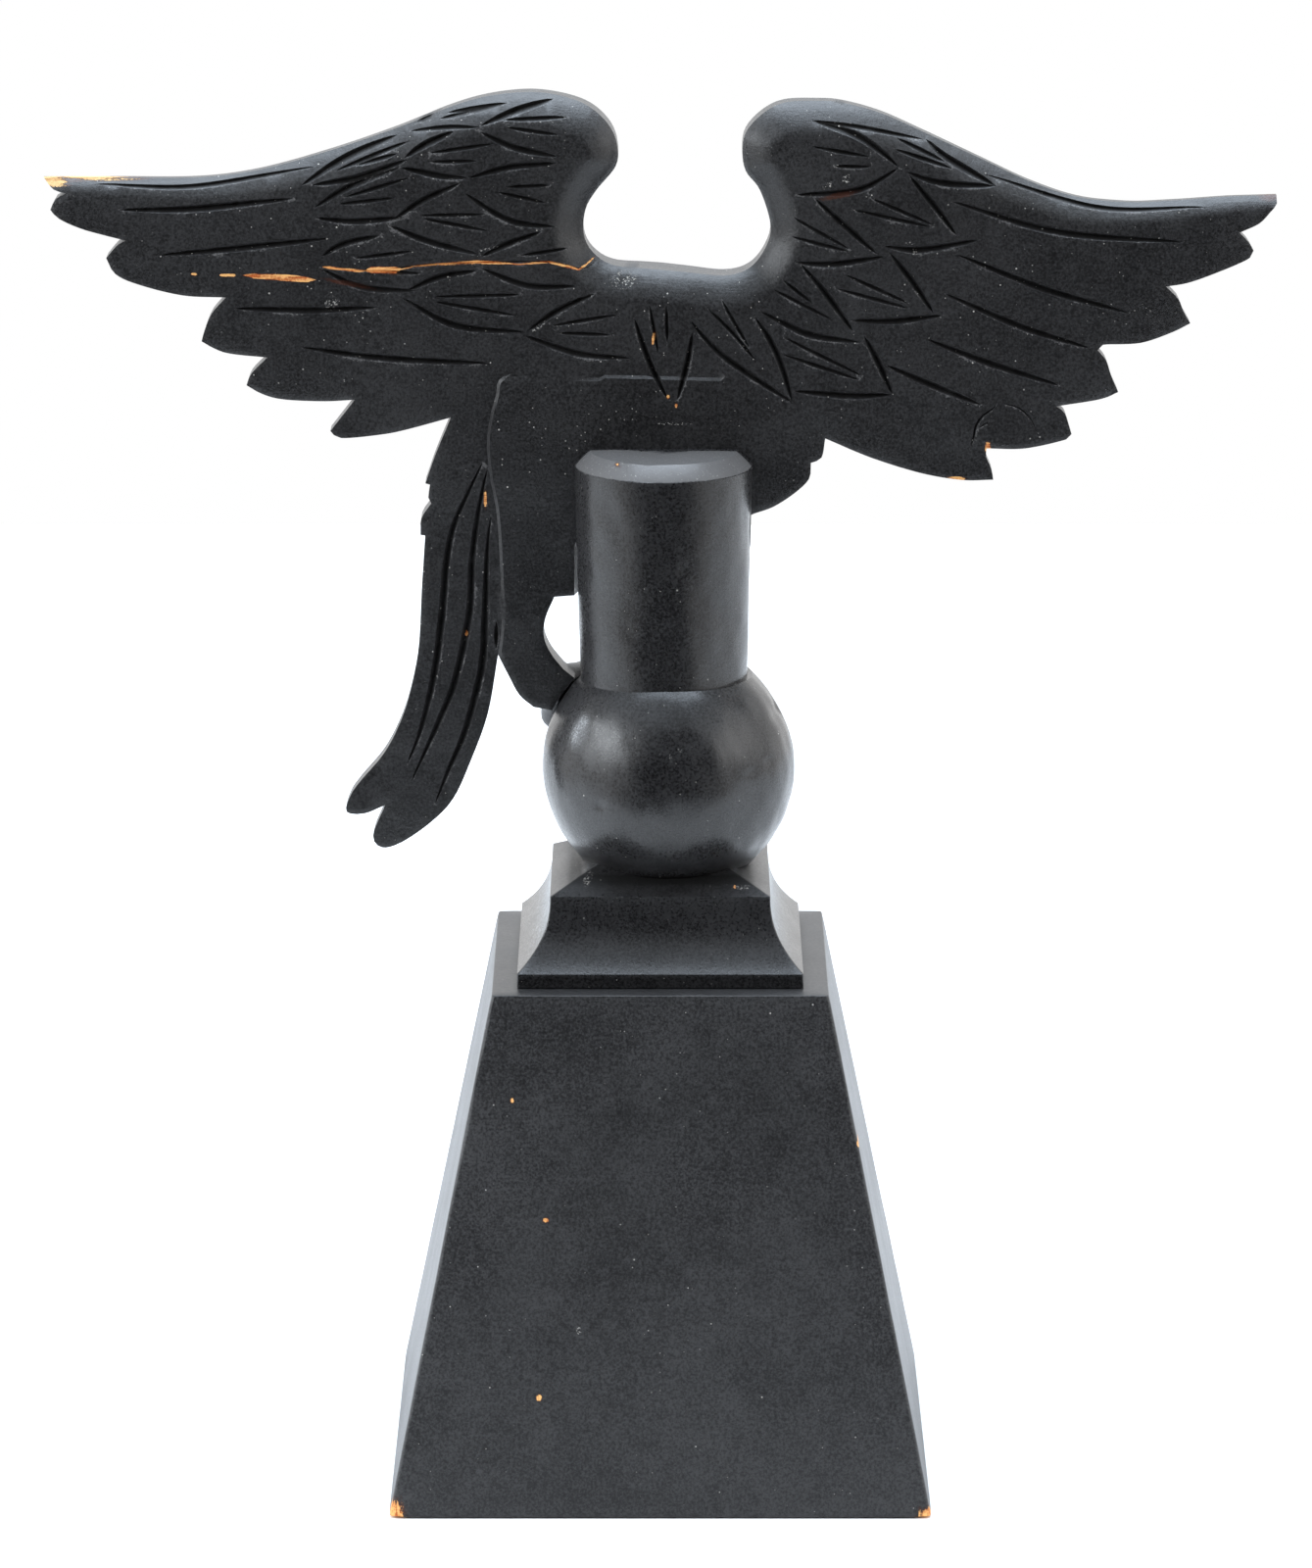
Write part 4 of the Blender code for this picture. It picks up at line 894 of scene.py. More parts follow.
@dataclass
class Board:
    """The wings, the tail and the flat of the body: two carved faces over one outline."""

    carver: Carver
    step: float = 1.5
    fine_step: float = 1.9
    grid: float = 1.5
    bow: float = 0.0035
    pad_step: float = 0.0013
    pad_fade: float = 0.0350
    arm: float = 0.0250
    arm_at_tip: float = 0.0095
    arm_breadth: float = 0.0280
    blade: float = 0.0120
    blade_at_tip: float = 0.0065
    tail_tip: float = 0.0080
    round_breadth: float = 0.0090
    round_breadth_at_tip: float = 0.0034
    round_depth: float = 0.0085
    round_depth_at_tip: float = 0.0030
    crown_breadth: float = 0.0330
    crown_breadth_at_tip: float = 0.0190
    crown_depth: float = 0.0036
    crown_depth_at_tip: float = 0.0030
    hem: float = 0.8
    hem_depth: float = 0.0003
    feather_width: float = 2.3
    feather_depth: float = 1.9
    barb_width: float = 1.5
    barb_depth: float = 1.25
    claw_angles: tuple[float, float] = (137.0, 155.0)
    bevel: float = 0.49
    bevel_power: float = 1.3
    nose: float = 0.41
    nose_fullness: float = 0.97
    front_roll: float = 0.28
    block: int = 4000
    # the planar mesh, in drawn millimetres
    cell: float = 0.62
    lines_in: float = 0.35
    points_in: float = 0.3
    row_pitch: float = 0.87
    hem_rows: tuple[float, ...] = (0.5, 1.2)
    edge_rows: tuple[float, ...] = (0.05, 0.12, 0.22, 0.34, 0.48, 0.64, 0.82)
    # the flat's edge: its rise, and where it fades at the top and down the side
    pad_bevel: float = 0.85
    pad_rise: float = 0.8
    top_fade: tuple[float, float, float] = (298.0, 8.0, 0.5)
    side_fade: tuple[float, float, float] = (268.0, 16.0, 0.4)
    # where the tail thins: below a height, over a height, left of x
    tail_thins: tuple[float, float, float] = (250.0, 70.0, -45.0)
    # middle and reaches of the rough dip between the shoulders, along x and z
    dip: tuple[float, ...] = (-8.0, 13.0, 338.0, 6.0)
    dip_depth: float = 0.25
    # amplitude in millimetres, wavelength and seed of each knife wave
    knife: tuple = ((0.30, 26.0, 21), (0.07, 8.0, 22), (0.03, 3.5, 23))

    top_run = [
        (-173, 365), (-152, 365), (-130, 365), (-113.5, 367), (-94.5, 372), (-75, 378.5),
        (-58.5, 385), (-47.5, 388), (-36, 389), (-26, 387.5), (-19, 384.5), (-14, 379.5),
        (-12, 374), (-12.5, 368.5), (-18, 361.5), (-21, 356), (-21.5, 349), (-19, 344),
        (-13.5, 340.5), (-4, 339.5), (7, 338.5), (18, 337.5), (25, 339.5), (29.5, 345),
        (31, 351.5), (28, 361.5), (24, 367), (23, 372.5), (24, 378), (28.5, 383),
        (34.5, 386), (43.5, 386.5), (51, 386), (62, 383), (74.5, 377.5), (89.5, 370.5),
        (103.5, 364), (117, 359.5), (131, 358), (144.5, 358.5), (158.5, 359.5), (173, 360),
    ]
    lower_runs = chained((173, 360), [
        [(173, 358), (171, 355.5), (168, 352.5), (162.5, 350)], [(165, 347.5), (166.5, 345)],
        [(165.5, 343), (161.5, 341), (154, 338), (148, 336), (142, 335)],
        [(145.5, 331.5), (147, 328), (149, 324.5)], [(144, 322), (135, 319), (124.5, 318.5), (123, 317)],
        [(125.5, 314), (127, 309.5), (129, 305)], [(124, 303), (111.5, 301)], [(114, 299), (116, 293)],
        [(114.5, 291.5), (103, 289), (92, 289)], [(92, 286.5), (93.5, 283), (94, 280)],
        [(85, 280), (73.5, 282), (59.5, 286.5), (46.5, 292)], [(45.5, 286.5), (42.5, 285)],
        [(42, 280.5), (38, 276.5), (32, 272.5), (26.5, 270.5)], [(-23.5, 247)], [(-30, 246.5)],
        [(-32.5, 240.5), (-33, 235), (-31, 230), (-27.5, 225.5)],
    ])
    tail_runs = chained((-36, 214.5), [
        [(-40, 218), (-43, 223.5), (-46, 229.5)],
        [(-49, 212.5), (-54, 198.5), (-59, 187.5), (-65.5, 180.5), (-74, 174.5), (-79.5, 173), (-82, 176.5),
         (-78.5, 185.5)],
        [(-84.5, 183), (-89.5, 183.5), (-88.5, 188), (-85.5, 192.5), (-78.5, 201), (-73.5, 211),
         (-70.5, 221), (-68.5, 232.5), (-67.5, 249.5), (-66.5, 264)],
        [(-67.8, 264.2)], [(-67.5, 269), (-64.7, 273.3)], [(-65.5, 275), (-65, 278.7)], [(-66.3, 279.1)],
        [(-63.5, 287.1), (-59, 298)], [(-71.5, 294.5), (-79, 293), (-90, 292), (-93, 294)],
        [(-89.5, 298.5), (-86, 303)], [(-94.5, 302.5), (-106, 303), (-112, 304.5), (-116.5, 307)],
        [(-115, 310.5), (-110.5, 315)], [(-121, 316), (-125.5, 317.5), (-129, 319.5)],
        [(-128, 323), (-126, 327.5), (-122, 332)],
        [(-134, 332.5), (-146.5, 335.5), (-153, 338.5), (-155.5, 343)], [(-152.5, 346.5), (-150, 348)],
        [(-161.5, 351), (-168.5, 354), (-171, 356.5)], [(-169.5, 359.5), (-166.5, 361)],
        [(-170, 362), (-173, 365)],
    ])
    edge_cuts = [
        ((-100.8, 363.4), (-88.7, 370.7), (-73.6, 377.3)), ((-97.5, 363.7), (-84.6, 366), (-70.6, 371)),
        ((-97, 357.4), (-87.4, 363.2), (-72.8, 368.8)), ((-96.5, 354.6), (-86.1, 353.8), (-71, 355)),
        ((-95, 343.8), (-88.9, 347.4), (-78.4, 349.9)), ((-95, 340.2), (-83.5, 335.2), (-68.4, 334.1)),
        ((-71.7, 371.3), (-66.2, 374.9), (-57.4, 379)), ((-72.5, 368.8), (-61.3, 366.6), (-53.6, 366.1)),
        ((-75.1, 354.1), (-66.3, 359.9), (-55.8, 364.7)), ((-76, 352.7), (-64.2, 348), (-50.5, 344.5)),
        ((-71.2, 334.1), (-62.3, 338), (-51.1, 340)), ((-72.5, 332.2), (-57.5, 324.4), (-38.2, 322.5)),
        ((-50.3, 380.4), (-40.7, 384.3), (-29.7, 387.3)), ((-50.3, 378.8), (-40.7, 374.6), (-28.4, 371.9)),
        ((-53.6, 366.1), (-42.1, 369.1), (-29, 370.2)), ((-54.8, 361.9), (-42.2, 354.2), (-29.3, 352)),
        ((-50.2, 343.9), (-43.6, 347.2), (-33.2, 350.9)), ((-50.2, 340.6), (-36.8, 335.6), (-23, 335.3)),
        ((-37.4, 322.8), (-28.6, 328.6), (-18.1, 333.4)), ((-38.5, 321.6), (-23.1, 316.4), (-7.9, 315)),
        ((-7.4, 326.7), (-3, 313.9), (2.2, 303.2)), ((9.1, 322.5), (7.5, 313.3), (4.7, 302.9)),
        ((43.2, 381.5), (53.9, 378.2), (61.1, 373.8), (66.8, 368.8)),
        ((37.8, 361.1), (52.4, 362.2), (58.9, 364.1), (66.8, 368.8)),
        ((74.2, 376.2), (80, 371.2), (94, 363.2)), ((68.5, 367.7), (78.1, 364.6), (94, 363.2)),
        ((69.6, 366.6), (78.2, 356.3), (83.2, 349.6)), ((62.6, 346.9), (73.1, 345.8), (89.5, 348.5)),
        ((43.1, 360.3), (51, 353.3), (61, 344.4)), ((37.9, 342), (48.6, 341.7), (62.9, 343.9)),
        ((64, 345.3), (70.1, 337.7), (76.8, 327.7)), ((53.4, 325.8), (65, 325.5), (79.5, 327.1)),
        ((39.3, 341.7), (45.9, 334.2), (54.3, 322.5)),
        ((27.8, 328.4), (36.1, 324.2), (43.2, 321.4), (56.8, 319.4)),
        ((57, 321.6), (60.9, 314.6), (65.4, 304.5)), ((37.5, 305.7), (53.8, 304.3), (65.4, 304.5)),
        ((26.4, 326.7), (30.3, 321.1), (33.9, 313.5), (37.3, 302.3)),
        ((8.3, 325.9), (13.5, 319.7), (20.4, 313.6), (37.3, 302.3)),
        ((-151.5, 356.5), (-130, 357), (-102.5, 360)), ((-140.5, 344), (-119, 346), (-92.5, 349)),
        ((-119.5, 329), (-98.5, 328.6), (-79, 329.4)), ((-101, 318), (-78, 315), (-48, 313.5)),
        ((147, 347.5), (111.5, 350.5), (81, 359.5)), ((132, 327.5), (108, 334.5), (83, 344.5)),
        ((121, 317.5), (101, 324), (79.5, 333.5)), ((112.5, 307), (92.5, 313.5), (74.5, 320.5)),
        ((90.5, 301.5), (76, 307.5), (63.5, 313)),
        ((-72, 197.7), (-68.8, 205.7), (-65.9, 215.8), (-63.4, 228.4), (-61.6, 243.4), (-60.5, 255.9),
         (-58.4, 266.7), (-54.5, 275.9), (-50, 285.4)),
        ((-71, 192.3), (-62.3, 211.6), (-58.1, 222.5), (-54, 241.8), (-53.2, 256.8), (-51.7, 268.4),
         (-50.2, 277), (-48.6, 284)),
        ((-64.2, 186), (-60, 196.5), (-56.6, 204.2), (-53.6, 213.4), (-50.4, 227.2), (-49.7, 239.5),
         (-49.3, 250.2), (-48.8, 261.6), (-47.8, 270)),
    ]
    barb_cuts = [
        ((-90.9, 367.6), (-70, 376)), ((-85.4, 369), (-73.3, 372.6)), ((-88.5, 360.4), (-70.1, 366)),
        ((-90.4, 358.5), (-73.7, 360.5)), ((-85.7, 343.3), (-69.1, 345.5)), ((-81.3, 339.9), (-67, 339.1)),
        ((-64.6, 372.9), (-46.2, 375.7)), ((-64.6, 370.5), (-50.9, 370.8)), ((-67.4, 355.5), (-49, 355.8)),
        ((-66.9, 354.7), (-47.7, 351.1)), ((-63.5, 332.5), (-39, 333.1)), ((-63.8, 331.1), (-40.1, 327.2)),
        ((-44, 382.1), (-25.7, 382.7)), ((-43.2, 380.2), (-28.4, 378)), ((-43.5, 363.6), (-30.6, 363.9)),
        ((-45.7, 362.2), (-31.8, 358.9)), ((-39.5, 344.2), (-25.8, 345.9)),
        ((-30.5, 324.2), (-11.5, 327.5)), ((-29.1, 322.2), (-13.4, 321.7)), ((-3, 330.3), (-0.5, 316.1)),
        ((1.7, 330.6), (2, 318.9)), ((13, 329.5), (20.4, 322.2), (27, 314.1)),
        ((17.1, 331.7), (25.1, 317.8)), ((42.2, 374.9), (58.6, 371.9)), ((48.5, 369.4), (59.2, 369.1)),
        ((66, 376.8), (80, 369.9)), ((65.2, 374), (81.9, 368.2)), ((58.7, 360.5), (76.6, 352.7)),
        ((53.8, 357.2), (76, 352.2)), ((37.3, 354.7), (53.3, 345.8)), ((36.8, 349.2), (53, 345.3)),
        ((51.7, 338.9), (69.9, 330.5)), ((49, 335), (69.9, 329.1)), ((34.4, 337), (43.2, 330.3)),
        ((31.4, 334.5), (48.7, 325.8)), ((34.4, 321.1), (56.8, 309.9)), ((33.9, 316.3), (56.3, 308.7)),
        ((-70, 378.4), (-59.9, 379.8), (-50.3, 380.1)), ((-68.6, 380.4), (-62.6, 383.1)),
        ((-62, 381.8), (-44.8, 385.9)), ((-59.8, 383.4), (-42.6, 386.4)),
        ((41.9, 381.8), (55.3, 379.9), (73.9, 376)), ((-46.5, 231.2), (-46.4, 239.5)),
        ((-158.5, 363.4), (-130, 362.9), (-96.5, 368.6)), ((153.5, 357), (122.5, 356.8), (90.5, 366.5)),
    ]
    cracks = [
        (((-17.5, 342), (-22, 340), (-31, 342.2), (-51, 342.3), (-69, 341.2), (-82, 339.8),
          (-96, 341)), 0.9, 0.6),
        (((87.5, 289.3), (88.4, 292.7), (89, 295.7), (90.9, 298.5), (93.6, 300.3),
          (95.1, 302.3)), 1.0, 0.8),
        (((95.1, 302.3), (97.5, 301.7), (101.3, 300.5), (104.5, 297.3), (105.5, 295.3),
          (105.7, 293.6)), 0.7, 0.5),
        (((89.4, 294.6), (92.1, 296.4), (93.3, 295)), 0.8, 0.5),
    ]
    u_ridge = [
        (-19.7, 371.6), (-26.5, 366.1), (-29, 358.4), (-28.5, 350), (-24.4, 343.9), (-13.4, 333.7),
        (-2.4, 332.3), (12.7, 333.4), (23.7, 336.2), (31.9, 341.7), (35.1, 350), (34.6, 358.3),
    ]
    pad_edge = [
        (17, 309.5), (-14, 310.3), (-42, 310.5), (-46.5, 303.5), (-48.8, 292.5), (-48.2, 282),
        (-46.2, 270), (-45.2, 252), (-45, 239), (-46, 229.5),
    ]

    def __post_init__(self) -> None:
        """Draws the outline, the leading edge, the flat's edge and every cut."""
        self.leading = smooth_run(self.top_run, self.step)
        reach = self.carver.post.ball_radius + CLEARANCE
        angles = np.radians(np.linspace(*self.claw_angles, 9))
        claws = self.carver.unplace(np.column_stack([
            self.carver.post.ball_lean + reach * np.cos(angles),
            self.carver.post.ball_centre + reach * np.sin(angles)]))
        joints = [[self.lower_runs[-1][-1], claws[0]], claws, [claws[-1], self.tail_runs[0][0]]]
        others = self.lower_runs + joints + self.tail_runs
        runs = [self.leading] + [smooth_run(run, self.step) for run in others]
        self.outline = np.vstack([run[:-1] for run in runs])
        self.closed = np.vstack([self.outline, self.outline[:1]])
        self.pad = smooth_run(self.pad_edge, self.step)
        rows = [(path, self.feather_width, self.feather_depth) for path in self.edge_cuts]
        rows += [(path, self.barb_width, self.barb_depth) for path in self.barb_cuts]
        self.cuts = [Cut(smooth_run(path, self.fine_step), width, deep)
                     for path, width, deep in rows + self.cracks]

    def inside(self, points: Points, margin: float) -> Points:
        """Which points lie within the outline, at least a margin from it, by counting crossings."""
        keep = np.zeros(len(points), dtype=bool)
        ax, az, bx, bz = self.closed[:-1, 0], self.closed[:-1, 1], self.closed[1:, 0], self.closed[1:, 1]
        rise = np.where(bz == az, 1.0, bz - az)
        for block in np.array_split(np.arange(len(points)), max(1, len(points) // self.block)):
            x, z = points[block, :1], points[block, 1:]
            spans = (az > z) != (bz > z)
            crossings = (spans & (x < ax + (z - az) * (bx - ax) / rise)).sum(1)
            distance, _ = path_distance(points[block], self.closed)
            keep[block] = (crossings % 2 == 1) & (distance > margin)
        return keep

    def gap_to(self, points: Points, path: Points) -> Points:
        """Distance to a polyline, worked out in blocks to save memory."""
        blocks = np.array_split(points, max(1, len(points) // self.block))
        return np.concatenate([path_distance(block, path)[0] for block in blocks])

    def pad_share(self, points: Points) -> Points:
        """1 on the raised flat that meets the post, 0 on the wings and the tail."""
        distance = self.gap_to(points, self.pad)
        left = np.interp(points[:, 1], self.pad[::-1, 1], self.pad[::-1, 0])
        within = (points[:, 1] < self.pad[:, 1].max()) & (points[:, 0] > left)
        height = points[:, 1]
        top, top_over, top_loss = self.top_fade
        side, side_over, side_least = self.side_fade
        step = np.where(within, np.clip(distance / self.pad_rise, 0, 1), 0)
        step = step * (1 - top_loss * ease((height - top) / top_over))
        step = step * (side_least + (1 - side_least) * ease((height - side) / side_over))
        fade = 1 - ease((points[:, 0] - self.pad[0, 0] + 6) / (self.pad_fade / self.carver.unit))
        return step * fade

    def faces(self, points: Points) -> tuple[Points, Points]:
        """Depths of the back and of the front face under drawn points, in metres.

        The back is flat, bowed a little towards the wing tips, and falls away towards the leading
        edge in a broad parabola that ends in a bevel with a rounded nose. The front stands off it by
        the wood's thickness: stout along the leading edge and thin in the blades. Slow ripples are
        knife work.
        """
        unit = self.carver.unit
        reach = np.clip(np.abs(points[:, 0]) / (self.carver.drawn_span / 2), 0, 1)
        edge = self.gap_to(points, self.leading) * unit
        breadth = mix(self.round_breadth, self.round_breadth_at_tip, reach ** 1.5)
        lift = 1 - np.clip(edge / breadth, 0, 1)
        roll = (self.bevel * lift ** self.bevel_power
                + self.nose * (1 - np.sqrt(1 - lift ** 2 * self.nose_fullness)))
        drop = mix(self.round_depth, self.round_depth_at_tip, reach)
        face = self.carver.pad_back + self.pad_step + self.bow * reach ** 2
        crown = np.clip(1 - edge / mix(self.crown_breadth, self.crown_breadth_at_tip, reach), 0, 1)
        crown = crown ** 2 * mix(self.crown_depth, self.crown_depth_at_tip, reach)
        crown = crown * ease((np.abs(points[:, 0] - 4) - 14) / 22)
        pad = self.pad_share(points)
        arm = mix(self.arm, self.arm_at_tip, reach ** 0.8)
        blade = mix(self.blade, self.blade_at_tip, reach)
        below, over, left_of = self.tail_thins
        tail = ease((below - points[:, 1]) / over) * (points[:, 0] < left_of)
        blade = mix(blade, self.tail_tip, tail)
        share = np.exp(-(np.maximum(edge - self.round_breadth, 0) / self.arm_breadth) ** 2)
        body = mix(blade, arm, share)
        front = face + body - self.front_roll * body * roll
        hem = np.clip(1 - self.gap_to(points, self.closed) / self.hem, 0, 1)
        soften = self.hem_depth * hem ** 2 * (roll <= 0)
        uneven = MM * sum(height * ripple(points, wave, seed) for height, wave, seed in self.knife)
        uneven = uneven * (1 - 0.75 * np.clip(pad, 0, 1))
        dip_x, reach_x, dip_z, reach_z = self.dip
        in_dip = np.exp(-((points[:, 0] - dip_x) / reach_x) ** 2 - ((points[:, 1] - dip_z) / reach_z) ** 2)
        rough = self.dip_depth * MM * ripple(points, 2.6, 25) * in_dip
        back = face + drop * roll + crown - self.pad_step * pad + uneven + rough + soften
        return back, front + 0.16 * MM * ripple(points, 15.0, 24) - soften

    def planar_mesh(self) -> tuple[Points, list]:
        """Triangles over the outline, with every cut, the flat's edge and rows along the edge."""
        points, edges, count = [], [], 0
        lines = [line for cut in self.cuts for line in cut.lines()]
        lines += [self.pad[:-1], self.pad[:-1] + self.pad_bevel * side_of(self.pad[:-1])]
        for line in lines:
            keep = self.inside(line, self.lines_in)
            points.append(line)
            edges += [(count + i, count + i + 1) for i in range(len(line) - 1) if keep[i] and keep[i + 1]]
            count += len(line)
        fixed = np.vstack(points)
        inward = -side_of(self.leading)
        breadth = self.round_breadth / self.carver.unit
        rows = [self.leading + inward * breadth * share for share in self.edge_rows]
        hem = np.vstack([self.outline + side_of(self.outline) * -gap for gap in self.hem_rows])
        low, high = self.outline.min(0), self.outline.max(0)
        columns = np.arange(low[0], high[0], self.grid)
        levels = np.arange(low[1], high[1], self.grid * self.row_pitch)
        x, z = np.meshgrid(columns, levels)
        x = x + (np.arange(len(levels)) % 2)[:, None] * self.grid / 2
        loose = np.vstack(rows + [hem, np.column_stack([x.ravel(), z.ravel()])])
        taken = {}
        keys = np.floor(np.vstack([fixed, self.outline]) / self.cell).astype(int)
        busy = set(map(tuple, np.vstack([keys + [i, j] for i in (-1, 0, 1) for j in (-1, 0, 1)]).tolist()))
        keep = [tuple(key) not in busy and taken.setdefault(tuple(key), number) == number
                for number, key in enumerate(np.floor(loose / self.cell).astype(int).tolist())]
        loose = loose[np.array(keep)]
        loose = loose[self.inside(loose, self.points_in)]
        head = len(self.outline)
        flat = [Vector(p) for p in np.vstack([self.outline, fixed, loose]).tolist()]
        links = [(a + head, b + head) for a, b in edges]
        verts, _, faces, *_ = delaunay_2d_cdt(flat, links, [list(range(head))[::-1]], 1, 1e-4)
        return np.array([tuple(v) for v in verts]), [tuple(f) for f in faces]

    def cut_depth(self, points: Points) -> Points:
        """The deepest cut under each point."""
        crumbled = 1 + 0.22 * ripple(points, 2.4, 26)
        return np.max([cut.depth_at(points) for cut in self.cuts], axis=0) * crumbled

    def build(self) -> bpy.types.Object:
        """Back face, front face and the wall between them, as one closed solid."""
        flat, faces = self.planar_mesh()
        used, faces = np.unique(np.array(faces), return_inverse=True)
        faces = faces.reshape(-1, 3)
        flat = flat[used]
        placed = self.carver.place(flat)
        cut = self.cut_depth(flat)
        back, front = self.faces(flat)
        rear = np.column_stack([placed[:, 0], back + cut, placed[:, 1]])
        fore = np.column_stack([placed[:, 0], front - cut, placed[:, 1]])
        count = len(flat)
        sides = np.vstack([faces[:, [0, 1]], faces[:, [1, 2]], faces[:, [2, 0]]])
        key = sides[:, 0].astype(np.int64) * count + sides[:, 1]
        mirrored = sides[:, 1].astype(np.int64) * count + sides[:, 0]
        a, b = sides[~np.isin(key, mirrored)].T
        wall = np.vstack([np.column_stack([b, a, a + count]), np.column_stack([b, a + count, b + count])])
        shell = np.vstack([faces, faces[:, ::-1] + count, wall])
        return add_object("eagle_carving", np.vstack([rear, fore]), shell.tolist())


@dataclass
class Bird:
    """The rounded front of the eagle: body, head, legs and toes."""

    carver: Carver
    sides: int = 48
    spans: int = 7
    feather_rows: int = 10
    feathers_around: int = 7
    relief: float = 0.0014
    toe: float = 4.3
    talon: float = 0.9

    body = [
        (-61, 9, 238, 4.2, 3, 3), (-57, 10, 254, 7.6, 7, 5), (-48, 12, 267, 14, 13, 6),
        (-33, 14, 278, 20.5, 21, 8), (-12, 15, 288, 23.5, 28, 9), (10, 16, 299.5, 25, 32, 9),
        (28, 17, 313, 23, 31, 9), (41, 19, 328, 17.5, 25, 9), (49, 21, 340, 14, 19, 9),
        (56, 23, 347, 12, 14, 9),
    ]
    forms = {
        "head": [
            (47, 23, 335, 12, 14, 12), (55, 25, 345.5, 13.5, 14.5, 13), (64, 26, 352.5, 13.2, 14, 12),
            (74, 27, 354.5, 10.6, 11, 10), (82, 27, 353, 7, 7, 7),
        ],
        "upper_beak": [
            (78, 27, 353, 6.4, 5.4, 5.4), (86, 27, 352.5, 5.8, 4.6, 4.6), (92, 27, 349.5, 4.6, 3.8, 3.8),
            (95.5, 27, 344.5, 3.2, 2.8, 2.8), (96, 27, 338.5, 1.1, 1.1, 1.1),
        ],
        "lower_beak": [
            (79, 27, 346.5, 3.6, 4.2, 4.2), (87, 27, 345, 2.6, 3.2, 3.2), (91, 27, 344, 1.1, 1.6, 1.6),
        ],
        "brow": [(63, 37, 357.5, 1.6, 1.6, 3), (72, 37.5, 358, 2.5, 1.9, 4),
                 (80.5, 33.8, 356, 1.6, 1.4, 3)],
        "rear_thigh": [
            (-24, 24, 275, 12, 13, 10), (-35, 22, 265, 13, 14, 12), (-41.5, 18, 252, 9.5, 11, 10),
            (-40, 13.5, 240, 6.2, 8, 7),
        ],
        "rear_shank": [(-40, 12, 246, 5, 6, 6), (-38.8, 10.5, 234, 4.6, 5.5, 5.5),
                       (-36, 9.5, 222, 5.5, 5.5, 5.5)],
        "front_thigh": [
            (15, 33, 292, 13, 11, 8), (12, 37, 277, 14, 12, 9), (8, 37, 262.5, 11.5, 10, 9),
            (6, 35.5, 250.5, 7.5, 8, 7.5),
        ],
        "front_shank": [(6, 35, 254, 5.3, 5.3, 5.3), (4.5, 34, 240, 4.8, 4.8, 4.8),
                        (3.2, 31, 225, 5.6, 5.2, 5.2)],
    }
    eye = (75.0, 36.0, 353.0, 2.5)
    feet = {
        "front": ((0.02, 0.74, 0.67), [(-0.50, 0.84, 0.20), (0.0, 0.985, 0.17), (0.52, 0.83, 0.20)]),
        "rear": ((-0.80, 0.20, 0.56), [(-0.80, 0.59, 0.10), (-0.63, 0.73, 0.26), (-0.42, 0.74, 0.52)]),
    }

    def frames(self, stations: list) -> Points:
        """Columns for each station: its place, ahead, across, and its three reaches in metres."""
        rows = np.asarray(stations, dtype=float)
        model = self.carver.place(rows[:, [0, 2]])
        depth = self.carver.pad_back + rows[:, 1] * self.carver.unit
        path = np.column_stack([model[:, 0], depth, model[:, 1]])
        tangent = unit_rows(np.gradient(path, axis=0))
        facing = np.array([0.0, 1.0, 0.0])
        ahead = unit_rows(facing - tangent * (tangent @ facing)[:, None])
        return np.column_stack([path, ahead, np.cross(ahead, tangent), rows[:, 3:] * self.carver.unit])

    def ring_points(self, frames: Points, sides: int) -> Points:
        """Ellipses round a path: centre + across * breadth * cos + ahead * depth * sin."""
        angles = np.arange(sides) * 2 * np.pi / sides
        cos, sin = np.cos(angles)[:, None], np.sin(angles)[:, None]
        frames = np.broadcast_to(frames, (len(frames), sides, frames.shape[-1]))
        centre, ahead, across = frames[..., 0:3], frames[..., 3:6], frames[..., 6:9]
        depth = np.where(sin > 0, frames[..., 10:11], frames[..., 11:12])
        return centre + across * frames[..., 9:10] * cos + ahead * depth * sin

    def lofted(self, name: str, stations: list) -> bpy.types.Object:
        """A rounded form along a smooth path."""
        frames = self.frames(smooth_spans(stations, self.spans))
        return add_rings(name, self.ring_points(frames[:, None, :], self.sides))

    def feathered_body(self) -> bpy.types.Object:
        """The body with rows of breast feathers that lap towards the tail.

        Each row starts at a scalloped edge, where the surface steps out by the relief, and falls
        back evenly to the next edge. The scallops are half sines round the body.
        """
        frames = self.frames(smooth_spans(self.body, 2))
        last = len(frames) - 1.0
        per_feather = 16
        sides = per_feather * self.feathers_around
        bounds = np.linspace(0.7, last - 1.2, self.feather_rows + 1)
        pitch = bounds[1] - bounds[0]
        around = np.arange(sides) / per_feather
        spots, flares, quills = [np.zeros(sides)], [np.zeros(sides)], [np.zeros(sides)]
        for number, low in enumerate(bounds[:-1]):
            lobe = np.sin(np.pi * (around + 0.5 * (number % 2)))
            edge = low - 0.42 * pitch * np.abs(lobe)
            end = low + pitch * 0.52
            spots.append(edge)
            flares.append(np.zeros(sides))
            quills.append(np.zeros(sides))
            for share in (0.0, 0.18, 0.4, 0.65, 0.85):
                spots.append(edge + 0.05 * pitch + (end - edge) * share)
                flares.append(np.full(sides, 1.0 - 0.8 * share))
                quills.append(np.exp(-((np.abs(lobe) - 1) / 0.012) ** 2) * (1 - share))
        spots += [np.full(sides, bounds[-1]), np.full(sides, last)]
        flares += [np.zeros(sides)] * 2
        quills += [np.zeros(sides)] * 2
        spots = np.clip(np.array(spots), 0, last)
        columns = [np.interp(spots, np.arange(len(frames)), column) for column in frames.T]
        grid = np.stack(columns, axis=-1)
        lift = np.array(flares) * self.relief - np.array(quills) * 0.5 * MM
        grid[..., 9:12] += lift[..., None]
        return add_rings("body", self.ring_points(grid, sides))

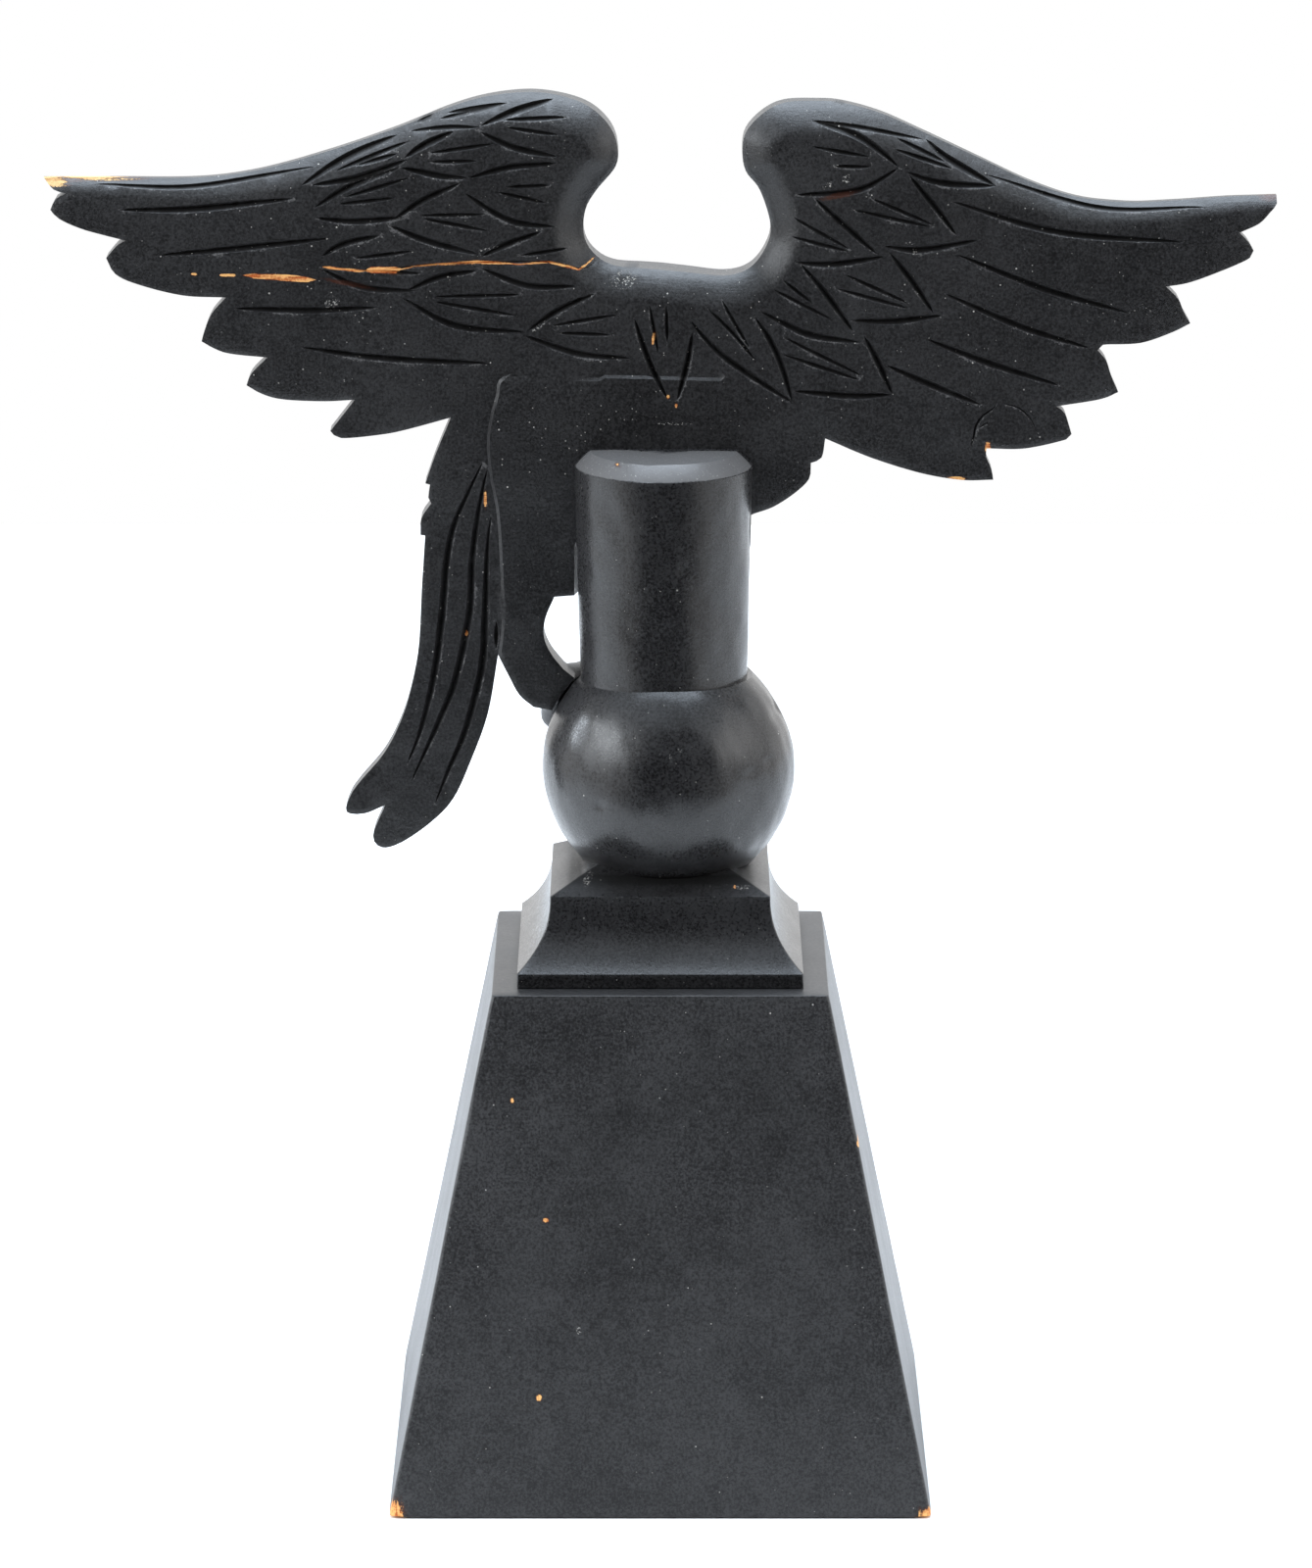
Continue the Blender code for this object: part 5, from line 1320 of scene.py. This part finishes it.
    def toe_form(self, name: str, root: tuple, end: tuple) -> bpy.types.Object:
        """One toe and its talon: circles along a great circle over the ball, with knuckles."""
        root, end = (np.asarray(v, dtype=float) / np.linalg.norm(v) for v in (root, end))
        turn = np.arccos(root @ end)
        keys = np.array([-0.06, 0.2, 0.45, 0.66, 0.8, 0.92, 1.0])
        shares = np.linspace(keys[0], keys[-1], 34)
        lifts = np.interp(shares, keys, [0.62, 0.70, 0.62, 0.66, 0.52, 0.42, 0.3])
        girths = np.interp(shares, keys, [1.0, 1.0, 0.86, 0.92, 0.62, 0.40, 0.0])
        heads = (np.sin((1 - shares) * turn)[:, None] * root
                 + np.sin(shares * turn)[:, None] * end) / np.sin(turn)
        girth = self.talon + (self.toe - self.talon) * girths
        post = self.carver.post
        radius = post.ball_radius + lifts * girth * self.carver.unit
        path = np.array([post.ball_lean, 0.0, post.ball_centre]) + heads * radius[:, None]
        tangent = unit_rows(np.gradient(path, axis=0))
        across = unit_rows(np.cross(heads, tangent))
        outward = np.cross(tangent, across)
        angles = np.arange(24) * 2 * np.pi / 24
        reach = (girth * self.carver.unit)[:, None, None]
        rings = path[:, None] + reach * (across[:, None] * np.cos(angles)[None, :, None]
                                         + outward[:, None] * np.sin(angles)[None, :, None])
        return add_rings(name, rings)

    def eye_bead(self) -> bpy.types.Object:
        """The round eye."""
        x, y, z, radius = self.eye
        place = self.carver.place([(x, z)])[0]
        turns = np.radians(np.linspace(-84, 84, 15))
        bead = self.carver.post.turned(
            "eye", np.column_stack([np.cos(turns), np.sin(turns)]) * radius * self.carver.unit, 0.0, 24)
        depth = self.carver.pad_back + y * self.carver.unit
        bead.data.transform(Matrix.Translation((place[0], depth, place[1])))
        return bead

    def build(self) -> list[bpy.types.Object]:
        """Every rounded form, each a closed solid."""
        made = [self.feathered_body(), self.eye_bead()]
        made += [self.lofted(name, stations) for name, stations in self.forms.items()]
        for side, (root, ends) in self.feet.items():
            made += [self.toe_form(f"{side}_toe_{number}", root, end) for number, end in enumerate(ends, 1)]
        return made


@dataclass
class Eagle:
    """The whole carved bird as one piece."""

    carver: Carver = field(default_factory=Carver)
    finish: BlackPaint = BlackPaint(
        "Black paint on the carving", grain=(0.10, 1.0, 1.0), roughness=0.40, dust=0.22, chips=0.003,
        crack=(
            (-132.6, 339.1, -1.0), (-131.4, 339.1, 0.35), (-130.2, 339.1, 0.35), (-129.4, 339.1, -1.0),
            (-124.6, 338.9, -1.0), (-123.4, 338.9, 0.30), (-119.4, 338.9, 0.35), (-118.6, 338.9, -0.6),
            (-117.0, 338.9, 0.10), (-114.0, 338.7, 0.75), (-106.0, 338.3, 0.95), (-99.0, 337.8, 0.80),
            (-95.6, 337.7, -0.4), (-95.0, 341.4, 0.0), (-93.0, 341.2, 0.40), (-84.5, 340.2, 0.35),
            (-82.6, 340.3, 0.10), (-81.2, 340.6, 0.95), (-74.2, 340.5, 1.05), (-72.6, 340.8, 0.10),
            (-68.9, 341.6, 0.22), (-60.0, 342.3, 0.26), (-51.0, 343.0, 0.40), (-45.0, 342.6, 0.34),
            (-39.5, 342.2, 0.26), (-31.3, 342.8, 0.32), (-26.0, 341.3, 0.34), (-22.8, 340.3, 0.34),
            (-20.4, 341.8, 0.28), (-18.4, 343.3, 0.22), (-17.4, 343.9, -1.0)),
        wood_spots=((-1.9, 3, 321.2, 0.45, 9, 1.9, 8), (2.2, 3, 304.6, 0.4, 9, 0.6),
                    (4.5, 3, 302.3, 0.4, 9, 0.7), (-49.4, 3, 275.0, 0.45, 9, 2.2),
                    (-54.9, 3, 236.0, 0.45, 9, 0.8), (92.4, 5, 289.9, 0.8, 12, 1.5),
                    (83.6, 5, 280.9, 2.4, 12, 0.55, 4)),
        straw_spots=((-160.0, 6, 365.7, 13.0, 12, 1.0), (-170.5, 6, 364.9, 4.4, 12, 1.5)),
        stain_spots=((-87.2, 3, 336.5, 8.8, 9, 0.75, 12), (50.0, 3, 361.6, 6.0, 9, 0.9, -12),
                     (171.0, 6, 360.2, 4.0, 12, 1.4)),
        pale_spots=(
            (-10.2, 5, 337.4, 4.4, 9, 3.0), (46.8, 3, 364.4, 1.8, 9, 1.0, -35),
            (52.0, 3, 366.4, 1.3, 9, 1.8, 20), (49.1, 3, 370.0, 0.9, 9, 0.6),
            (70.0, 3, 348.3, 1.5, 9, 0.7), (71.3, 3, 345.6, 0.8, 9, 1.4),
            (-34.0, 3, 324.6, 3.4, 9, 0.7, -38), (3.9, 2, 297.1, 6.0, 9, 0.45),
            (-92.6, 3, 331.0, 2.4, 9, 2.6, 30), (-48.0, 3, 346.6, 4.0, 9, 0.5, -12)))

    skin: float = 0.0002
    # height above which the flat's edge gets a painted highlight in the grey of paint wear
    flat_highlight_above: float = 283.0
    unworn_lead: float = 3.0

    def ridge(self, drawn: Points, path: list | Points, reach: float) -> Points:
        """1 along a drawn path, falling off over a reach in millimetres."""
        distance, _ = path_distance(drawn, np.asarray(path, dtype=float))
        return np.exp(-(distance / reach) ** 2)

    def marks(self, board: Board, places: Points) -> dict:
        """Painted shade in the cuts, paint wear, and a painted highlight along the flat's upper edge, from
        the places of the points.
        """
        drawn = self.carver.unplace(places[:, [0, 2]])
        within = board.inside(drawn, 0.0)
        back, front = np.full(len(places), 1.0), np.full(len(places), 1.0)
        back[within], front[within] = board.faces(drawn[within])
        depth = board.cut_depth(drawn)
        behind = places[:, 1] < back + depth + self.skin
        # Painted shade: points on the carved faces take the depth of the cut under them, which darkens the
        # cuts.
        cut = np.where(behind | (places[:, 1] > front - depth - self.skin), depth, 0)
        # Painted highlight: the flat's upper edge, where its arris catches the light, is painted in the
        # grey of paint wear.
        wear_and_highlight = 0.36 * self.ridge(drawn, board.pad, 0.45) * behind * (drawn[:, 1] > self.flat_highlight_above)
        trailing = board.gap_to(drawn, board.leading) > self.unworn_lead
        wear_and_highlight = np.maximum(wear_and_highlight, 0.40 * self.ridge(drawn, board.closed, 0.5) * behind * trailing)
        wear_and_highlight = np.maximum(wear_and_highlight, 0.30 * self.ridge(drawn, board.u_ridge, 1.1) * behind)
        rim = np.max([cut.lower_rim(drawn) for cut in board.cuts], axis=0) * behind
        return {Mark.CUT: cut / (board.feather_depth * MM) * 1.8, Mark.WEAR_AND_HIGHLIGHT: wear_and_highlight, Mark.RIM: rim}

    def build(self) -> bpy.types.Object:
        """Carves the board and the rounded forms together and dresses the piece."""
        board = Board(self.carver)
        piece = board.build()
        log.info("board: %d faces", len(piece.data.polygons))
        post = self.carver.post
        grown = post.post_top_radius + CLEARANCE
        rooms = [
            post.turned("ball_room", post.ball_profile(CLEARANCE), post.ball_lean, 168),
            post.turned("post_room", np.array(
                [[grown, post.ball_centre], [grown, post.shoulder + CLEARANCE]]), post.post_lean, 132),
        ]
        carve_together(piece, Bird(self.carver).build(), rooms)
        places, _ = mesh_points(piece)
        settle(piece, places, self.marks(board, places))
        dress(piece, "eagle", self.finish)
        return piece


# Setting

@dataclass(frozen=True)
class Studio:
    """Pale floor, white surround with a dim side behind the camera, soft lights and the camera."""

    floor: tuple[float, float, float] = (2.6, -0.36, 1.3)
    floor_colour: Colour = (0.93, 0.93, 0.93, 1.0)
    floor_shade: Colour = (0.90, 0.90, 0.90, 1.0)
    overhead: Colour = (0.84, 0.92, 1.0, 1.0)
    lens: float = 171.7
    place: tuple[float, float, float] = (-0.0012, -2.067, 0.696)
    tilt: float = 76.33
    # name, place, size, power and colour of each softbox
    lights = (
        ("Left softbox", (-1.6, -0.7, 1.0), 0.8, 19.0, (0.90, 0.95, 1.0)),
        ("Left strip", (-1.75, 0.40, 0.75), 0.30, 7.0, (0.82, 0.90, 1.0)),
        ("Right softbox", (1.6, -0.5, 0.9), 1.0, 6.5, (1.0, 1.0, 1.0)),
        ("Top softbox", (0.0, 0.35, 1.9), 1.4, 46.0, (0.76, 0.87, 1.0)),
    )
    aim: tuple[float, float, float] = (0.0, 0.0, 0.2)

    def surround(self) -> None:
        """A bright surround, brightest behind, blue overhead, and dim low down on the camera's side."""
        world = bpy.data.worlds.new("Studio")
        bpy.context.scene.world = world
        world.use_nodes = True
        g = Graph(world.node_tree)
        aim = g.node("ShaderNodeTexCoord").outputs["Generated"]
        split = g.node("ShaderNodeSeparateXYZ", None, {0: aim})
        along, up = Num(g, split.outputs["Y"]), Num(g, split.outputs["Z"])
        strength = (along.step(-0.86, -0.56) * 0.98 + 0.02) * (along.step(-0.2, 0.5) * 0.55 + 1.0)
        shown = Num(g, g.node("ShaderNodeLightPath").outputs["Is Camera Ray"])
        background = g.tree.nodes["Background"]
        g.feed(background.inputs["Strength"], shown + (1.0 - shown) * strength)
        tint = g.blend(up.step(0.35, 0.90) * (1.0 - shown), (1.0, 1.0, 1.0, 1.0), self.overhead)
        g.feed(background.inputs["Color"], tint)
        bpy.context.scene.view_settings.view_transform = "Standard"

    def lay_floor(self) -> None:
        """A pale floor, from a little in front of the pedestal to far behind it."""
        half, front, back = self.floor[0] / 2, self.floor[1], self.floor[2]
        corners = np.array([(-half, front), (half, front), (half, back), (-half, back)])
        plane = add_object("floor", np.column_stack([corners, np.full(4, -0.0005)]), [[0, 1, 2, 3]])
        surface = Surface("Pale floor")
        cloud = surface.noise(6.0, 3.0).step(0.3, 0.7)
        tone = surface.blend(cloud, self.floor_colour, self.floor_shade)
        plane.data.materials.append(surface.finish(Base_Color=tone, Roughness=0.75))

    def light(self, name: str, place: tuple, size: float, power: float, colour: tuple) -> None:
        """One soft square light, turned towards the carving's ball."""
        lamp = bpy.data.lights.new(name, "AREA")
        lamp.shape, lamp.size, lamp.energy, lamp.color = "SQUARE", size, power, colour
        item = bpy.data.objects.new(name, lamp)
        item.location = place
        item.rotation_euler = (Vector(self.aim) - Vector(place)).to_track_quat("-Z", "Y").to_euler()
        bpy.context.scene.collection.objects.link(item)

    def camera(self) -> None:
        """The camera at the photograph's viewing angle."""
        lens = bpy.data.cameras.new("Camera")
        lens.lens = self.lens
        lens.sensor_width = 36.0
        item = bpy.data.objects.new("Camera", lens)
        item.location = self.place
        item.rotation_euler = (np.radians(self.tilt), 0.0, 0.0)
        bpy.context.scene.collection.objects.link(item)
        bpy.context.scene.camera = item

    def build(self) -> None:
        """Sets up the whole studio."""
        self.camera()
        self.surround()
        self.lay_floor()
        for row in self.lights:
            self.light(*row)


def main() -> None:
    """Builds the studio and the three pieces."""
    logging.basicConfig(level=logging.INFO, format="%(name)s: %(message)s")
    Studio().build()
    Pedestal().build()
    Post().build()
    Eagle().build()


if __name__ == "__main__":
    main()
